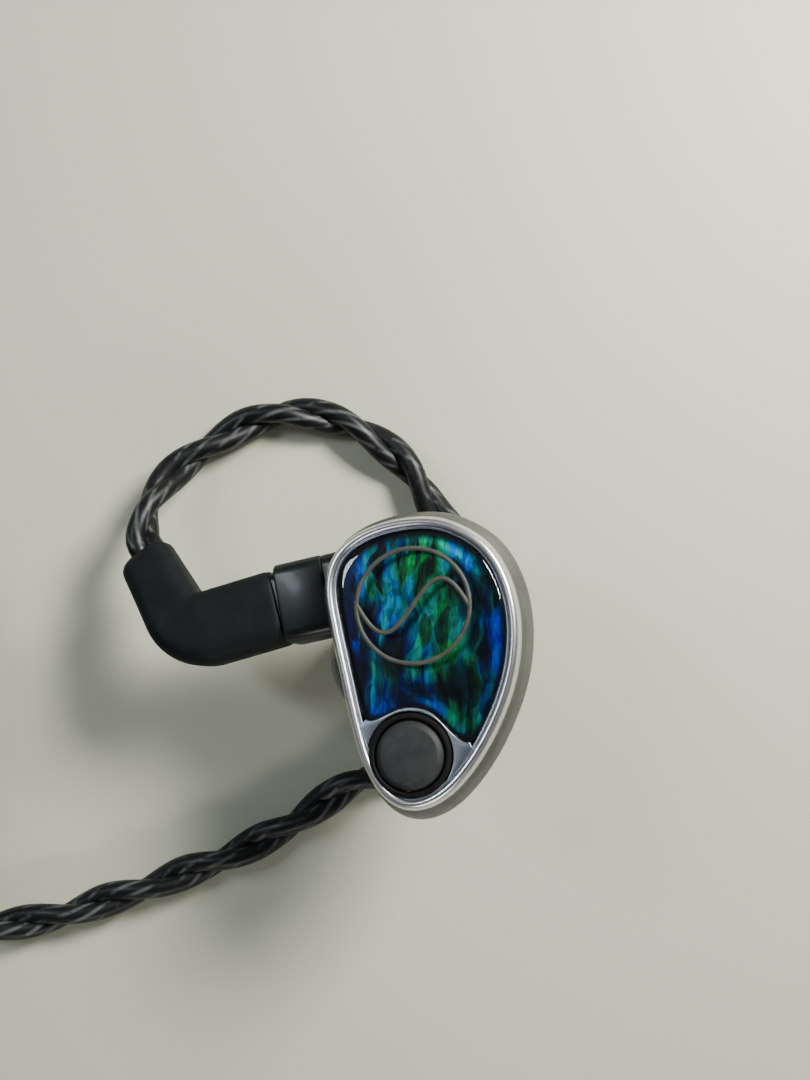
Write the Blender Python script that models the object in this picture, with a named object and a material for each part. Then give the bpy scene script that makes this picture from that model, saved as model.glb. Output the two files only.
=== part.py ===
"""An in-ear monitor lying face up, with its detachable cable. Sizes are in millimetres."""

import math

import bmesh
import bpy
from mathutils import Euler, Matrix, Vector

MM = 0.001
GAP = 0.3

# The table's frame is moved so that the monitor and its plug stand centred on the origin.
TABLE_AT = Vector((-1.1, 0.1, 0.0))
# The monitor's frame: x and y lie in its face, z points out of it.
FACE_AT = Vector((9.0, 0.6, 19.38))
LEAN_LEFT, LEAN_UP = math.radians(-12), math.radians(-7)
FACE_OUTLINE = (
    (0.3, 11.2), (-3.7, 10.6), (-6.7, 8.8), (-7.8, 6.0), (-7.3, 2.9), (-6.2, -1.4), (-5.2, -5.2),
    (-4.3, -7.9), (-2.8, -10.3), (-0.5, -11.4), (2.4, -10.2), (5.1, -6.8), (7.1, -2.2), (7.7, 2.0),
    (7.1, 5.8), (5.3, 9.0), (2.5, 10.7),
)
OUTLINE_STEPS = 36
FACE_THICK = 1.5
BEZEL_WIDE = 1.05
INLAY_CENTRE = Vector((0.3, 2.0))
INLAY_TOP, INLAY_THICK, LENS_TOP = -0.95, 0.4, -0.1
EMBLEM_AT, EMBLEM_RADIUS, WIRE = Vector((-0.55, 4.16)), 4.57, 0.36

MODULE_AT = Vector((-0.5, -7.1))
MODULE_CLEAR = 3.65
SEAL_RADIUS, CAP_RADIUS, CAP_TOP = 3.2, 2.6, 0.25
BARREL_RADIUS, BARREL_LONG = 2.3, 5.2
SLEEVE_WALL = 0.4

# The shell's rings below the face: depth, outline scale, and how far it has turned into the neck.
SHELL_RINGS = (
    (-1.8, 1.0, 0.0), (-2.7, 1.05, 0.0), (-4.2, 1.075, 0.0), (-5.6, 1.04, 0.06),
    (-6.9, 0.94, 0.2), (-7.9, 0.82, 0.42), (-8.6, 0.7, 0.7),
)
SHELL_WALL = 0.9
NOZZLE_AT, NOZZLE_WAY = Vector((-2.2, 0.3, -8.9)), Vector((-0.474, 0.095, -0.876)).normalized()
NECK_RADIUS, NECK_LONG = 3.6, 1.0
NOZZLE_RADIUS, NOZZLE_BORE, NOZZLE_LONG = 2.5, 1.8, 6.4
TIP_RADIUS, TIP_START, TIP_END = 6.0, 2.1, 9.9

# The two-pin plug: its axis points out of the shell.
PLUG_AT, PLUG_WAY = Vector((-12.0, 4.34, -4.6)), Vector((-0.975, -0.222, 0)).normalized()
HOUSING_LONG, HOUSING_TALL, HOUSING_THICK = 3.9, 6.4, 5.0
SOCKET_LONG, SOCKET_TALL, SOCKET_THICK = 3.4, 4.6, 2.9
PIN_RADIUS, PIN_APART, PIN_LONG = 0.39, 2.2, 5.2
BOOT_PATH = ((-12.3, 4.27, -4.6), (-16.0, 3.43, -4.6), (-19.6, 2.65, -4.8), (-21.6, 3.0, -5.0),
             (-22.7, 4.9, -5.3), (-23.7, 6.9, -5.7), (-24.5, 8.7, -6.2))
BOOT_TALL, BOOT_END, BOOT_FLAT = 6.1, 5.0, 0.78

# The cable, a twist of two strands, laid on the table at z = 0.
CABLE = 2.9
LEAD_ROUTE = (
    (-14.2, 9.6, 6.6), (-14.2, 11.0, 6.1), (-13.9, 12.7, 5.1), (-12.6, 15.1, 3.5), (-10.5, 17.1, 2.2),
    (-7.7, 19.0, 1.6), (-5.4, 20.2, 1.5), (-2.3, 21.0, 1.5), (0.8, 20.6, 1.5), (3.6, 19.7, 1.5),
    (6.1, 18.1, 1.5), (8.2, 16.2, 1.5), (9.6, 14.2, 1.5), (11.0, 11.8, 1.5), (14.0, 8.8, 1.5),
    (16.6, 4.8, 1.5), (17.4, 0.4, 1.5), (16.2, -4.0, 1.5), (13.0, -7.6, 1.5), (8.6, -10.2, 1.5),
    (3.8, -11.6, 1.5), (1.1, -13.3, 1.5), (-1.9, -15.4, 1.5), (-4.4, -16.7, 1.5), (-7.5, -18.3, 1.5),
    (-11.1, -19.6, 1.5), (-14.3, -20.9, 1.5), (-18.1, -22.1, 1.5), (-22.4, -23.5, 1.5),
    (-27.4, -24.4, 1.5), (-32.8, -25.0, 1.5), (-38.4, -25.4, 1.7),
)
COIL_AT = Vector((-56.0, -4.0))
COIL_INNER, COIL_OUTER, COIL_LOW, COIL_TOP = 11.0, 26.0, 0.75, 9.6
TOP_LEVEL = COIL_TOP + GAP + CABLE / 2
SPARE_ROUTE = (
    (-88.1, -23.8, 3.0), (-85.5, -23.5, 2.2), (-83.4, -22.3, 1.6), (-82.2, -20.0, 1.5), (-81.6, -17.2, 1.5),
)
SPARE_BOOT_PATH = ((-88.7, -23.9, 3.1), (-91.5, -23.2, 3.1), (-94.3, -21.9, 3.1), (-95.6, -19.2, 3.1),
                   (-95.9, -16.0, 3.1), (-95.9, -12.6, 3.1))
SPLITTER_LONG, SPLITTER_WIDE, SPLITTER_TALL = 11.0, 6.4, 3.6
SPLITTER_ANGLE, SPLITTER_RADIUS = math.radians(-20), 17.0
JACK_FROM, JACK_WAY = Vector((-53.5, -11.6, 13.0)), Vector((-0.9, -0.436, 0)).normalized()
TAIL_RADIUS, TAIL_LOW = 7.9, 2.2
TIE_WIDE, TIE_THICK, TIE_ANGLE = 7.0, 0.4, math.radians(150)

UP = Vector((0, 0, 1))

COLOURS = {
    "aluminium": ((0.78, 0.78, 0.79), 0.22, 1.0), "inlay": ((0.02, 0.25, 0.35), 0.25, 0.0),
    "resin": ((0.75, 0.85, 0.9), 0.05, 0.0), "wire": ((0.5, 0.49, 0.45), 0.3, 1.0),
    "dark_metal": ((0.09, 0.09, 0.09), 0.45, 0.8), "rubber": ((0.012, 0.012, 0.013), 0.6, 0.0),
    "gloss_black": ((0.012, 0.016, 0.015), 0.12, 0.0), "silicone": ((0.05, 0.05, 0.055), 0.45, 0.0),
    "brass": ((0.8, 0.58, 0.25), 0.3, 1.0), "steel": ((0.6, 0.6, 0.6), 0.35, 1.0),
    "board": ((0.02, 0.12, 0.05), 0.5, 0.0), "cord": ((0.02, 0.022, 0.024), 0.4, 0.0),
}


def clear_scene():
    for obj in list(bpy.data.objects):
        bpy.data.objects.remove(obj)


def material(kind):
    found = bpy.data.materials.get(kind)
    if found:
        return found
    colour, rough, metal = COLOURS[kind]
    made = bpy.data.materials.new(kind)
    made.use_nodes = True
    shader = made.node_tree.nodes["Principled BSDF"]
    shader.inputs["Base Color"].default_value = (*colour, 1)
    shader.inputs["Roughness"].default_value = rough
    shader.inputs["Metallic"].default_value = metal
    made.diffuse_color = (*colour, 1)
    return made


def empty(name, at=(0, 0, 0), turn=None, parent=None):
    made = bpy.data.objects.new(name, None)
    bpy.context.scene.collection.objects.link(made)
    made.location = Vector(at) * MM
    if turn:
        made.rotation_euler = turn
    made.parent = parent
    return made


def object_of(name, body, kind, parent=None, at=None):
    """A named object from a bmesh in millimetres. With at, its origin is there, in the same frame."""
    bmesh.ops.recalc_face_normals(body, faces=body.faces)
    if body.calc_volume(signed=True) < 0:
        bmesh.ops.reverse_faces(body, faces=body.faces)
    origin = Vector(at) if at is not None else Vector()
    bmesh.ops.transform(body, matrix=Matrix.Scale(MM, 4) @ Matrix.Translation(-origin), verts=body.verts)
    mesh = bpy.data.meshes.new(name)
    body.to_mesh(mesh)
    body.free()
    mesh.materials.append(material(kind))
    mesh.shade_smooth()
    mesh.set_sharp_from_angle(angle=math.radians(35))
    made = bpy.data.objects.new(name, mesh)
    bpy.context.scene.collection.objects.link(made)
    made.location = origin * MM
    made.parent = parent
    return made


def lofted(rings, closed=False):
    """A body through rings of equal length. Closed joins the last ring to the first."""
    body = bmesh.new()
    rows = [[body.verts.new(p) for p in ring] for ring in rings]
    pairs = list(zip(rows, rows[1:]))
    if closed:
        pairs.append((rows[-1], rows[0]))
    for low, high in pairs:
        for i in range(len(low)):
            j = (i + 1) % len(low)
            body.faces.new((low[i], low[j], high[j], high[i]))
    if not closed:
        body.faces.new(rows[0])
        body.faces.new(rows[-1])
    return body


def frame_on(at, way):
    """The matrix whose z axis points along way."""
    return Matrix.Translation(at) @ Vector(way).to_track_quat("Z", "Y").to_matrix().to_4x4()


def turned(profile, steps, place=None, hollow=True):
    """A profile of (radius, z) points turned about z: a closed loop if hollow, else capped."""
    place = place or Matrix()
    angles = [math.tau * i / steps for i in range(steps)]
    rings = [[place @ Vector((r * math.cos(a), r * math.sin(a), z)) for a in angles] for r, z in profile]
    return lofted(rings, closed=hollow)


def plug_frame(root, way, up, along):
    """A frame on a plug's axis: x across the pins, y up, z out of the shell, along from root."""
    axes = Matrix((up.cross(way).normalized(), up, way)).transposed().to_4x4()
    return Matrix.Translation(root + way * along) @ axes


def block_ring(wide, tall, bevel):
    x, y = wide / 2, tall / 2
    return [(x, y - bevel), (x - bevel, y), (bevel - x, y), (-x, y - bevel),
            (-x, bevel - y), (bevel - x, -y), (x - bevel, -y), (x, bevel - y)]


def block(long, wide, tall, bevel, place):
    """A box with its upright edges cut, centred on x and y, from z = 0 to tall."""
    corners = block_ring(long, wide, bevel)
    return lofted([[place @ Vector((a, b, z)) for a, b in corners] for z in (0, tall)])


def prism(outline, low, high):
    return lofted([[Vector((p[0], p[1], z)) for p in outline] for z in (low, high)])


def smooth_loop(points, steps):
    """Points at equal steps along a closed smooth curve through the points given."""
    count, dense, per = len(points), [], 12
    for i in range(count):
        a, b, c, d = (Vector(points[(i + k) % count]) for k in (-1, 0, 1, 2))
        for s in range(per):
            t = s / per
            dense.append(0.5 * (2 * b + (c - a) * t + (2 * a - 5 * b + 4 * c - d) * t ** 2
                                + (3 * b - a - 3 * c + d) * t ** 3))
    return spaced(dense + dense[:1], steps + 1)[:-1]


def smooth_line(points, steps):
    """Points at equal steps along a smooth open curve through the points given."""
    ends = [2 * Vector(points[0]) - Vector(points[1]), *map(Vector, points),
            2 * Vector(points[-1]) - Vector(points[-2])]
    dense, per = [], 8
    for a, b, c, d in zip(ends, ends[1:], ends[2:], ends[3:]):
        for s in range(per):
            t = s / per
            dense.append(0.5 * (2 * b + (c - a) * t + (2 * a - 5 * b + 4 * c - d) * t ** 2
                                + (3 * b - a - 3 * c + d) * t ** 3))
    return spaced(dense + [Vector(points[-1])], steps)


def spaced(line, count):
    lengths = [0.0]
    for a, b in zip(line, line[1:]):
        lengths.append(lengths[-1] + (b - a).length)
    found, k = [], 0
    for i in range(count):
        want = lengths[-1] * i / (count - 1)
        while k < len(line) - 2 and lengths[k + 1] < want:
            k += 1
        share = (want - lengths[k]) / max(lengths[k + 1] - lengths[k], 1e-9)
        found.append(line[k].lerp(line[k + 1], min(max(share, 0), 1)))
    return found


def inset(outline, by):
    """The outline moved inwards by a distance."""
    count, moved = len(outline), []
    for i, p in enumerate(outline):
        along = (outline[(i + 1) % count] - outline[i - 1]).normalized()
        moved.append(p + Vector((-along.y, along.x)) * by)
    return moved


def tube(name, points, radius, kind="cord", parent=None, sides=2):
    curve = bpy.data.curves.new(name, "CURVE")
    curve.dimensions = "3D"
    curve.bevel_depth = radius * MM
    curve.bevel_resolution = sides
    curve.use_fill_caps = True
    spline = curve.splines.new("POLY")
    spline.points.add(len(points) - 1)
    for point, place in zip(spline.points, points):
        point.co = (*(Vector(place) * MM), 1)
    curve.materials.append(material(kind))
    made = bpy.data.objects.new(name, curve)
    bpy.context.scene.collection.objects.link(made)
    made.parent = parent
    return made


def boolean(target, operation, other):
    """Cuts or joins with a helper, which stays hidden."""
    other.hide_render = True
    other.hide_set(True)
    other.display_type = "WIRE"
    change = target.modifiers.new(operation.lower(), "BOOLEAN")
    change.operation = operation
    change.solver = "EXACT"
    change.object = other


def face_outline():
    points = smooth_loop(FACE_OUTLINE, OUTLINE_STEPS)
    turning = sum(a.x * b.y - b.x * a.y for a, b in zip(points, points[1:] + points[:1]))
    return points if turning > 0 else points[::-1]


def inlay_outline(outline, margin):
    """The face inside the bezel, less a round bay for the vent module, with its corners eased."""
    inner, clear = inset(outline, margin), MODULE_CLEAR + margin - BEZEL_WIDE
    bay, found = MODULE_AT - INLAY_CENTRE, []
    for i in range(OUTLINE_STEPS):
        way = Vector((math.cos(math.tau * i / OUTLINE_STEPS), math.sin(math.tau * i / OUTLINE_STEPS)))
        reach = ray_to(inner, INLAY_CENTRE, way)
        near = bay.dot(way)
        off = bay.length_squared - near ** 2
        if near > 0 and off < clear ** 2:
            reach = min(reach, near - math.sqrt(clear ** 2 - off))
        found.append(INLAY_CENTRE + way * reach)
    return [(found[i - 1] + 2 * p + found[(i + 1) % len(found)]) / 4 for i, p in enumerate(found)]


def ray_to(outline, start, way):
    """How far a ray from inside the outline goes before it meets it."""
    side = Vector((-way.y, way.x))
    for a, b in zip(outline, outline[1:] + outline[:1]):
        u, v = (a - start).dot(side), (b - start).dot(side)
        if u * v <= 0 and u != v:
            reach = (a + (b - a) * u / (u - v) - start).dot(way)
            if reach > 0:
                return reach
    return 0.0


def build_shell(outline, parent):
    rings = shell_rings(outline, 0.0) + shell_rings(outline, SHELL_WALL)[::-1]
    shell = object_of("shell", lofted(rings, closed=True), "aluminium", parent)
    place, grow = plug_frame(PLUG_AT, PLUG_WAY, UP, -HOUSING_LONG + 1), 2 * GAP
    hole = block(SOCKET_TALL + grow, SOCKET_THICK + grow, -SOCKET_LONG - 2, 0.9, place)
    boolean(shell, "DIFFERENCE", object_of("socket_hole", hole, "aluminium", parent))
    place = plug_frame(PLUG_AT, PLUG_WAY, UP, -HOUSING_LONG - GAP)
    seat = block(HOUSING_TALL + grow, HOUSING_THICK + grow, 3, 0.9, place)
    boolean(shell, "DIFFERENCE", object_of("plug_seat", seat, "aluminium", parent))


def shell_rings(outline, wall):
    centre = sum(outline, Vector((0, 0))) / len(outline)
    rings = []
    for depth, scale, blend in SHELL_RINGS:
        ring = []
        for flat in inset(outline, wall) if wall else outline:
            out = centre + (flat - centre) * scale
            side = (flat - centre).normalized()
            round_point = NOZZLE_AT + neck_side(side) * (NECK_RADIUS - wall)
            level = depth + (0.35 * wall if depth < -6 else 0)
            ring.append(Vector((*out, level)).lerp(round_point, blend))
        rings.append(ring)
    for along in (0.0, NECK_LONG):
        middle, reach = NOZZLE_AT + NOZZLE_WAY * along, NECK_RADIUS - wall
        rings.append([middle + neck_side((flat - centre).normalized()) * reach for flat in outline])
    return rings


def neck_side(side):
    """The direction across the neck that matches a direction in the face."""
    flat = Vector((*side, 0))
    across = flat - NOZZLE_WAY * flat.dot(NOZZLE_WAY)
    return across.normalized()


def build_face(outline, parent):
    rings = [
        [(*p, -FACE_THICK) for p in inset(outline, 0.2)], [(*p, -FACE_THICK + 0.25) for p in outline],
        [(*p, -0.55) for p in outline], [(*p, -0.12) for p in inset(outline, 0.22)],
        [(*p, 0.0) for p in inset(outline, 0.55)],
    ]
    face = object_of("faceplate", lofted([[Vector(p) for p in r] for r in rings]), "aluminium", parent)
    floor = INLAY_TOP - INLAY_THICK
    pocket = prism(inlay_outline(outline, BEZEL_WIDE), floor - 0.1, 1)
    boolean(face, "DIFFERENCE", object_of("inlay_pocket", pocket, "inlay", parent))
    middle, clear = Matrix.Translation((*MODULE_AT, 0)), SEAL_RADIUS + GAP
    bore = turned([(clear, 1), (clear, -3)], 24, middle, False)
    boolean(face, "DIFFERENCE", object_of("module_bore", bore, "inlay", parent))
    small = inlay_outline(outline, BEZEL_WIDE + GAP)
    object_of("face_inlay", prism(small, floor + 0.15, INLAY_TOP), "inlay", parent)
    lens = [[(*p, INLAY_TOP + 0.2) for p in small], [(*p, LENS_TOP - 0.15) for p in small],
            [(*p, LENS_TOP) for p in inset(small, 0.5)]]
    object_of("face_lens", lofted([[Vector(p) for p in r] for r in lens]), "resin", parent)


def build_emblem(parent):
    """A wire ring with one plain sine wave across it, standing proud of the resin."""
    low, high, inner = LENS_TOP + 0.06, LENS_TOP + 0.2, EMBLEM_RADIUS - WIRE
    place = Matrix.Translation((*EMBLEM_AT, 0))
    profile = [(EMBLEM_RADIUS, high), (EMBLEM_RADIUS, low), (inner, low), (inner, high)]
    ring = object_of("emblem", turned(profile, 28, place), "wire", parent)
    line, count, reach = [], 14, inner + WIRE / 2
    for i in range(count + 1):
        x = reach * (2 * i / count - 1)
        line.append(EMBLEM_AT + Vector((x, 2.1 * math.sin(math.pi * x / reach))))
    sides = [Vector((a.y - b.y, b.x - a.x)).normalized() * WIRE / 2 for a, b in zip(line, line[1:])]
    sides.append(sides[-1])
    outline = [p + s for p, s in zip(line, sides)] + [p - s for p, s in zip(line[::-1], sides[::-1])]
    wave = object_of("emblem_wave", prism(outline, low + 0.01, high - 0.01), "wire", parent)
    boolean(ring, "UNION", wave)


def build_module(parent):
    """The vent module: a cap in a rubber seal, on a barrel with an air bore that pulls out of a sleeve."""
    origin = (*MODULE_AT, 0)
    place = Matrix.Translation(origin)
    cap = [(CAP_RADIUS - 0.3, CAP_TOP), (CAP_RADIUS, CAP_TOP - 0.25), (CAP_RADIUS, -0.75),
           (CAP_RADIUS - 0.2, -0.75)]
    seal_in, seal_low = CAP_RADIUS + 0.15, -1.35
    seal = [(seal_in + 0.1, 0.0), (SEAL_RADIUS - 0.12, 0.0), (SEAL_RADIUS, -0.15),
            (SEAL_RADIUS, seal_low), (seal_in, seal_low)]
    bore = 0.7
    barrel = [(bore, -1.05), (BARREL_RADIUS, -1.05), (BARREL_RADIUS, -BARREL_LONG), (bore, -BARREL_LONG)]
    object_of("module_cap", turned(cap, 28, place, False), "dark_metal", parent, origin)
    object_of("module_seal", turned(seal, 28, place), "rubber", parent, origin)
    object_of("module_barrel", turned(barrel, 20, place), "dark_metal", parent, origin)
    sleeve_in = BARREL_RADIUS + 0.25
    sleeve_out = sleeve_in + SLEEVE_WALL
    sleeve = [(sleeve_out, -1.9), (sleeve_out, -BARREL_LONG), (sleeve_in, -BARREL_LONG), (sleeve_in, -1.9)]
    object_of("module_sleeve", turned(sleeve, 20, place), "brass", parent)


def build_socket(parent):
    place = plug_frame(PLUG_AT, PLUG_WAY, UP, -HOUSING_LONG - GAP)
    body = block(SOCKET_TALL, SOCKET_THICK, -SOCKET_LONG, 0.8, place)
    socket = object_of("pin_socket", body, "gloss_black", parent)
    for name, side in (("a", -1), ("b", 1)):
        along = place @ Matrix.Translation((side * PIN_APART / 2, 0, 0))
        hole = turned([(0.85, 1), (0.85, -SOCKET_LONG - 1)], 12, along, False)
        boolean(socket, "DIFFERENCE", object_of("contact_hole_" + name, hole, "brass", parent))
        contact = [(0.72, -0.3), (0.72, -SOCKET_LONG - 0.8), (0.52, -SOCKET_LONG - 0.8), (0.52, -0.3)]
        object_of("contact_" + name, turned(contact, 10, along), "brass", parent)


def build_plug(names, root, way, up, boot_points, parent):
    """The housing, boot and pins of one two-pin plug. root is the middle of the housing's outer face."""
    place = plug_frame(root, way, up, -HOUSING_LONG)
    ring = block_ring(HOUSING_TALL, HOUSING_THICK, 0.9)
    back, small = block_ring(HOUSING_TALL - 0.5, HOUSING_THICK - 0.5, 0.8), HOUSING_LONG - 0.35
    rings = [[place @ Vector((a, b, z)) for a, b in shape]
             for shape, z in ((back, 0), (ring, 0.35), (ring, small), (back, HOUSING_LONG - GAP))]
    housing = object_of(names[0], lofted(rings), "gloss_black", parent, root)
    boot = []
    points = smooth_line(boot_points, 13)
    for i, p in enumerate(points):
        along = (points[min(i + 1, 12)] - points[max(i - 1, 0)]).normalized()
        across = up.cross(along).normalized()
        lift = along.cross(across).normalized()
        wide = BOOT_TALL + (BOOT_END - BOOT_TALL) * i / 12
        if i == 12:
            wide -= 1.2
        turns = [math.tau * (k + 0.5) / 14 for k in range(14)]
        across, lift = across * wide / 2, lift * wide / 2 * BOOT_FLAT
        boot.append([p + across * squared(math.cos(t)) + lift * squared(math.sin(t)) for t in turns])
    object_of(names[1], lofted(boot), "rubber", parent, root)
    for name, offset in zip(names[2:], (-1, 1)):
        pin_at = place @ Matrix.Translation((offset * PIN_APART / 2, 0, 0))
        hole = turned([(PIN_RADIUS + 0.2, 3.0), (PIN_RADIUS + 0.2, -1)], 8, pin_at, False)
        boolean(housing, "DIFFERENCE", object_of(name + "_seat", hole, "brass", parent))
        pin = [(PIN_RADIUS, 2.7), (PIN_RADIUS, -PIN_LONG + 2.9), (PIN_RADIUS * 0.5, -PIN_LONG + 2.7)]
        object_of(name, turned(pin, 8, pin_at, False), "brass", parent, root)


def squared(share):
    """Turns a circle's share into that of a rounded square."""
    return math.copysign(abs(share) ** 0.7, share)


def build_nozzle(parent):
    place = frame_on(NOZZLE_AT, NOZZLE_WAY)
    r, bore, flange = NOZZLE_RADIUS, NOZZLE_BORE, NECK_RADIUS - 0.15
    start = NECK_LONG + GAP
    end = NOZZLE_LONG
    profile = [(r, -1.2), (r, start), (flange, start), (flange, start + 0.5), (r, start + 0.7),
               (r, end - 1.2), (r + 0.28, end - 0.8), (r + 0.1, end), (bore + 0.45, end),
               (bore + 0.45, end - 0.9), (bore, end - 0.9), (bore, -1.2)]
    object_of("nozzle", turned(profile, 20, place), "steel", parent)
    screen = [(bore + 0.3, end - 0.25), (bore + 0.3, end - 0.6)]
    object_of("nozzle_screen", turned(screen, 20, place, False), "steel", parent)
    core, wall = r + 0.45, 0.75
    end = TIP_END
    tip = [(core, TIP_START), (core, end - 2.6), (bore + 0.1, end - 2.2), (bore + 0.1, end - 0.3),
           (bore + 0.7, end), (3.3, end - 0.4), (4.5, end - 1.5), (5.3, end - 3.0),
           (5.85, end - 5.0), (TIP_RADIUS, end - 7.0), (TIP_RADIUS - 0.35, end - 7.5),
           (5.3, end - 5.4), (4.7, end - 3.6), (core + wall, end - 2.9), (core + wall, TIP_START)]
    object_of("ear_tip", turned(tip, 24, place), "silicone", parent, NOZZLE_AT)


def build_drivers(parent):
    """What the shell holds: a moving-coil woofer, three armature drivers, their board and a sound tube."""
    woofer = frame_on(Vector((2.6, 3.3, -6.6)), Vector((-0.25, -0.1, 0.96)))
    frame = [(3.9, 1.6), (3.9, 0.6), (2.6, -0.4), (1.0, -0.4), (1.0, 0.4), (3.2, 1.0), (3.2, 1.6)]
    object_of("woofer_frame", turned(frame, 20, woofer), "steel", parent)
    cone = [(0.5, 1.65), (1.6, 1.75), (3.0, 1.55), (3.0, 1.35), (1.6, 1.5), (0.5, 1.45)]
    object_of("woofer_cone", turned(cone, 20, woofer), "silicone", parent)
    for name, at, size in (("mid_driver", (-2.4, 1.2, -5.6), (4.4, 2.8, 1.9)),
                           ("tweeter", (-3.0, -1.9, -5.2), (3.6, 2.2, 1.6)),
                           ("low_driver", (2.4, -2.9, -6.2), (4.0, 2.6, 2.0))):
        object_of(name, block(*size, 0.3, Matrix.Translation(at)), "steel", parent)
    board = block(6.4, 5.0, 0.5, 0.6, Matrix.Translation((-1.6, 1.4, -2.9)))
    object_of("crossover_board", board, "board", parent)
    route = smooth_line(((-2.3, 0.9, -6.0), (-2.2, 0.6, -6.6), (-2.1, 0.4, -7.3)), 4)
    tube("sound_tube", route, 0.9, "resin", parent)


def around(angle, radius, z):
    """A place on the coil at an angle from its middle."""
    return Vector((COIL_AT.x + radius * math.cos(angle), COIL_AT.y + radius * math.sin(angle), z))


def arc(start, end, radius_start, radius_end, z_start, z_end, steps):
    found = []
    for i in range(steps):
        share = i / (steps - 1)
        radius = radius_start + (radius_end - radius_start) * share
        found.append(around(start + (end - start) * share, radius, z_start + (z_end - z_start) * share))
    return found


def build_cable(table):
    tube("lead_left", smooth_line(LEAD_ROUTE, 52), CABLE / 2, parent=table)
    tube("lead_right", smooth_line(SPARE_ROUTE, 9), CABLE / 2, parent=table)
    profile = [(COIL_OUTER - 1, COIL_TOP), (COIL_OUTER, COIL_TOP - 1), (COIL_OUTER, COIL_LOW + 1),
               (COIL_OUTER - 1, COIL_LOW), (COIL_INNER + 1, COIL_LOW), (COIL_INNER, COIL_LOW + 1),
               (COIL_INNER, COIL_TOP - 1), (COIL_INNER + 1, COIL_TOP)]
    object_of("cable_coil", turned(profile, 32, Matrix.Translation((*COIL_AT, 0))), "cord", table)
    way = Vector((math.sin(SPLITTER_ANGLE), -math.cos(SPLITTER_ANGLE), 0))
    middle = around(SPLITTER_ANGLE, SPLITTER_RADIUS, COIL_TOP + GAP)
    side = UP.cross(way)
    place = Matrix.Translation(middle) @ Matrix((way, side, (0, 0, 1))).transposed().to_4x4()
    body = block(SPLITTER_LONG, SPLITTER_WIDE, SPLITTER_TALL, 1.0, place)
    object_of("splitter", body, "dark_metal", table)
    half = math.asin((SPLITTER_LONG / 2 + GAP) / SPLITTER_RADIUS)
    reach = math.radians(50)
    for name, side in (("lead_left_end", -1.55), ("lead_right_end", 1.55)):
        radius, start, end = SPLITTER_RADIUS + side, SPLITTER_ANGLE + reach, SPLITTER_ANGLE + half + 0.08
        tube(name, arc(start, end, radius, radius, TOP_LEVEL, TOP_LEVEL, 7), CABLE / 2, parent=table)
    radius, start, end = SPLITTER_RADIUS, SPLITTER_ANGLE - half - 0.06, SPLITTER_ANGLE - math.radians(42)
    tube("trunk_start", arc(start, end, radius, radius, TOP_LEVEL, TOP_LEVEL, 5), CABLE / 2, parent=table)
    build_tie(table)
    build_jack(table)


def build_tie(table):
    """A flat strap round the coil's bundle."""
    centre = around(TIE_ANGLE, (COIL_INNER + COIL_OUTER) / 2, (COIL_LOW + COIL_TOP) / 2)
    out = (around(TIE_ANGLE, 1, 0) - around(TIE_ANGLE, 0, 0)).normalized()
    place = Matrix((out, (0, 0, 1), out.cross(UP))).transposed().to_4x4()
    place = Matrix.Translation(centre) @ place
    wide, tall = COIL_OUTER - COIL_INNER + 6 * GAP, COIL_TOP - COIL_LOW + 2 * GAP
    half, twice = TIE_WIDE / 2, 2 * TIE_THICK
    rings = [[place @ Vector((a, b, z)) for a, b in block_ring(wide + t, tall + t, 1.2)]
             for t, z in ((0, -half), (twice, -half), (twice, half), (0, half))]
    object_of("coil_tie", lofted(rings, closed=True), "rubber", table)


def build_jack(table):
    """The 3.5 mm plug on the trunk's end, lying on the coil."""
    place = frame_on(JACK_FROM, JACK_WAY)
    relief = [(1.75, 0.0), (2.3, 2.5), (2.5, 5.6)]
    object_of("jack_relief", turned(relief, 16, place, False), "rubber", table)
    barrel = [(2.4, 5.9), (2.8, 6.3), (2.8, 19.0), (2.3, 19.6)]
    object_of("jack_barrel", turned(barrel, 20, place, False), "dark_metal", table)
    sleeve, ring, tip = (19.9, 26.6), (27.0, 28.9), (29.3, 33.6)
    for name, (start, end) in (("jack_sleeve", sleeve), ("jack_ring", ring)):
        object_of(name, turned([(1.75, start), (1.75, end)], 16, place, False), "brass", table)
    start, end = tip
    points = [(1.75, start), (1.75, start + 0.8), (1.3, start + 1.4), (1.7, start + 2.4),
              (1.1, end - 0.7), (0.3, end)]
    object_of("jack_tip", turned(points, 16, place, False), "brass", table)
    rise = arc(math.radians(200), math.radians(-60), TAIL_RADIUS, TAIL_RADIUS, TAIL_LOW, JACK_FROM.z, 14)
    lead_in = [JACK_FROM - JACK_WAY * back for back in (1.5, 0.4)]
    tube("trunk_tail", smooth_line(rise[:-2] + lead_in, 14), CABLE / 2, parent=table)


def main():
    clear_scene()
    table = empty("table_frame", TABLE_AT)
    frame = empty("monitor_frame", FACE_AT, Euler((LEAN_UP, LEAN_LEFT, 0), "XYZ"), table)
    outline = face_outline()
    build_shell(outline, frame)
    build_face(outline, frame)
    build_emblem(frame)
    build_module(frame)
    build_socket(frame)
    boot = [Vector(p) for p in BOOT_PATH]
    build_plug(("plug_housing", "plug_boot", "pin_a", "pin_b"), PLUG_AT, PLUG_WAY, UP, boot, frame)
    build_nozzle(frame)
    build_drivers(frame)
    build_cable(table)
    spare = [Vector(p) for p in SPARE_BOOT_PATH][::-1]
    names = ("spare_housing", "spare_boot", "spare_pin_a", "spare_pin_b")
    build_plug(names, spare[0] + Vector((0, GAP, 0)), Vector((0, -1, 0)), UP, spare, table)


main()
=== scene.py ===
"""The looks of the in-ear monitor and its cable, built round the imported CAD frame.

Sizes are in millimetres.
"""

import math

import bmesh
import bpy
from mathutils import Euler, Matrix, Vector


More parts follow.
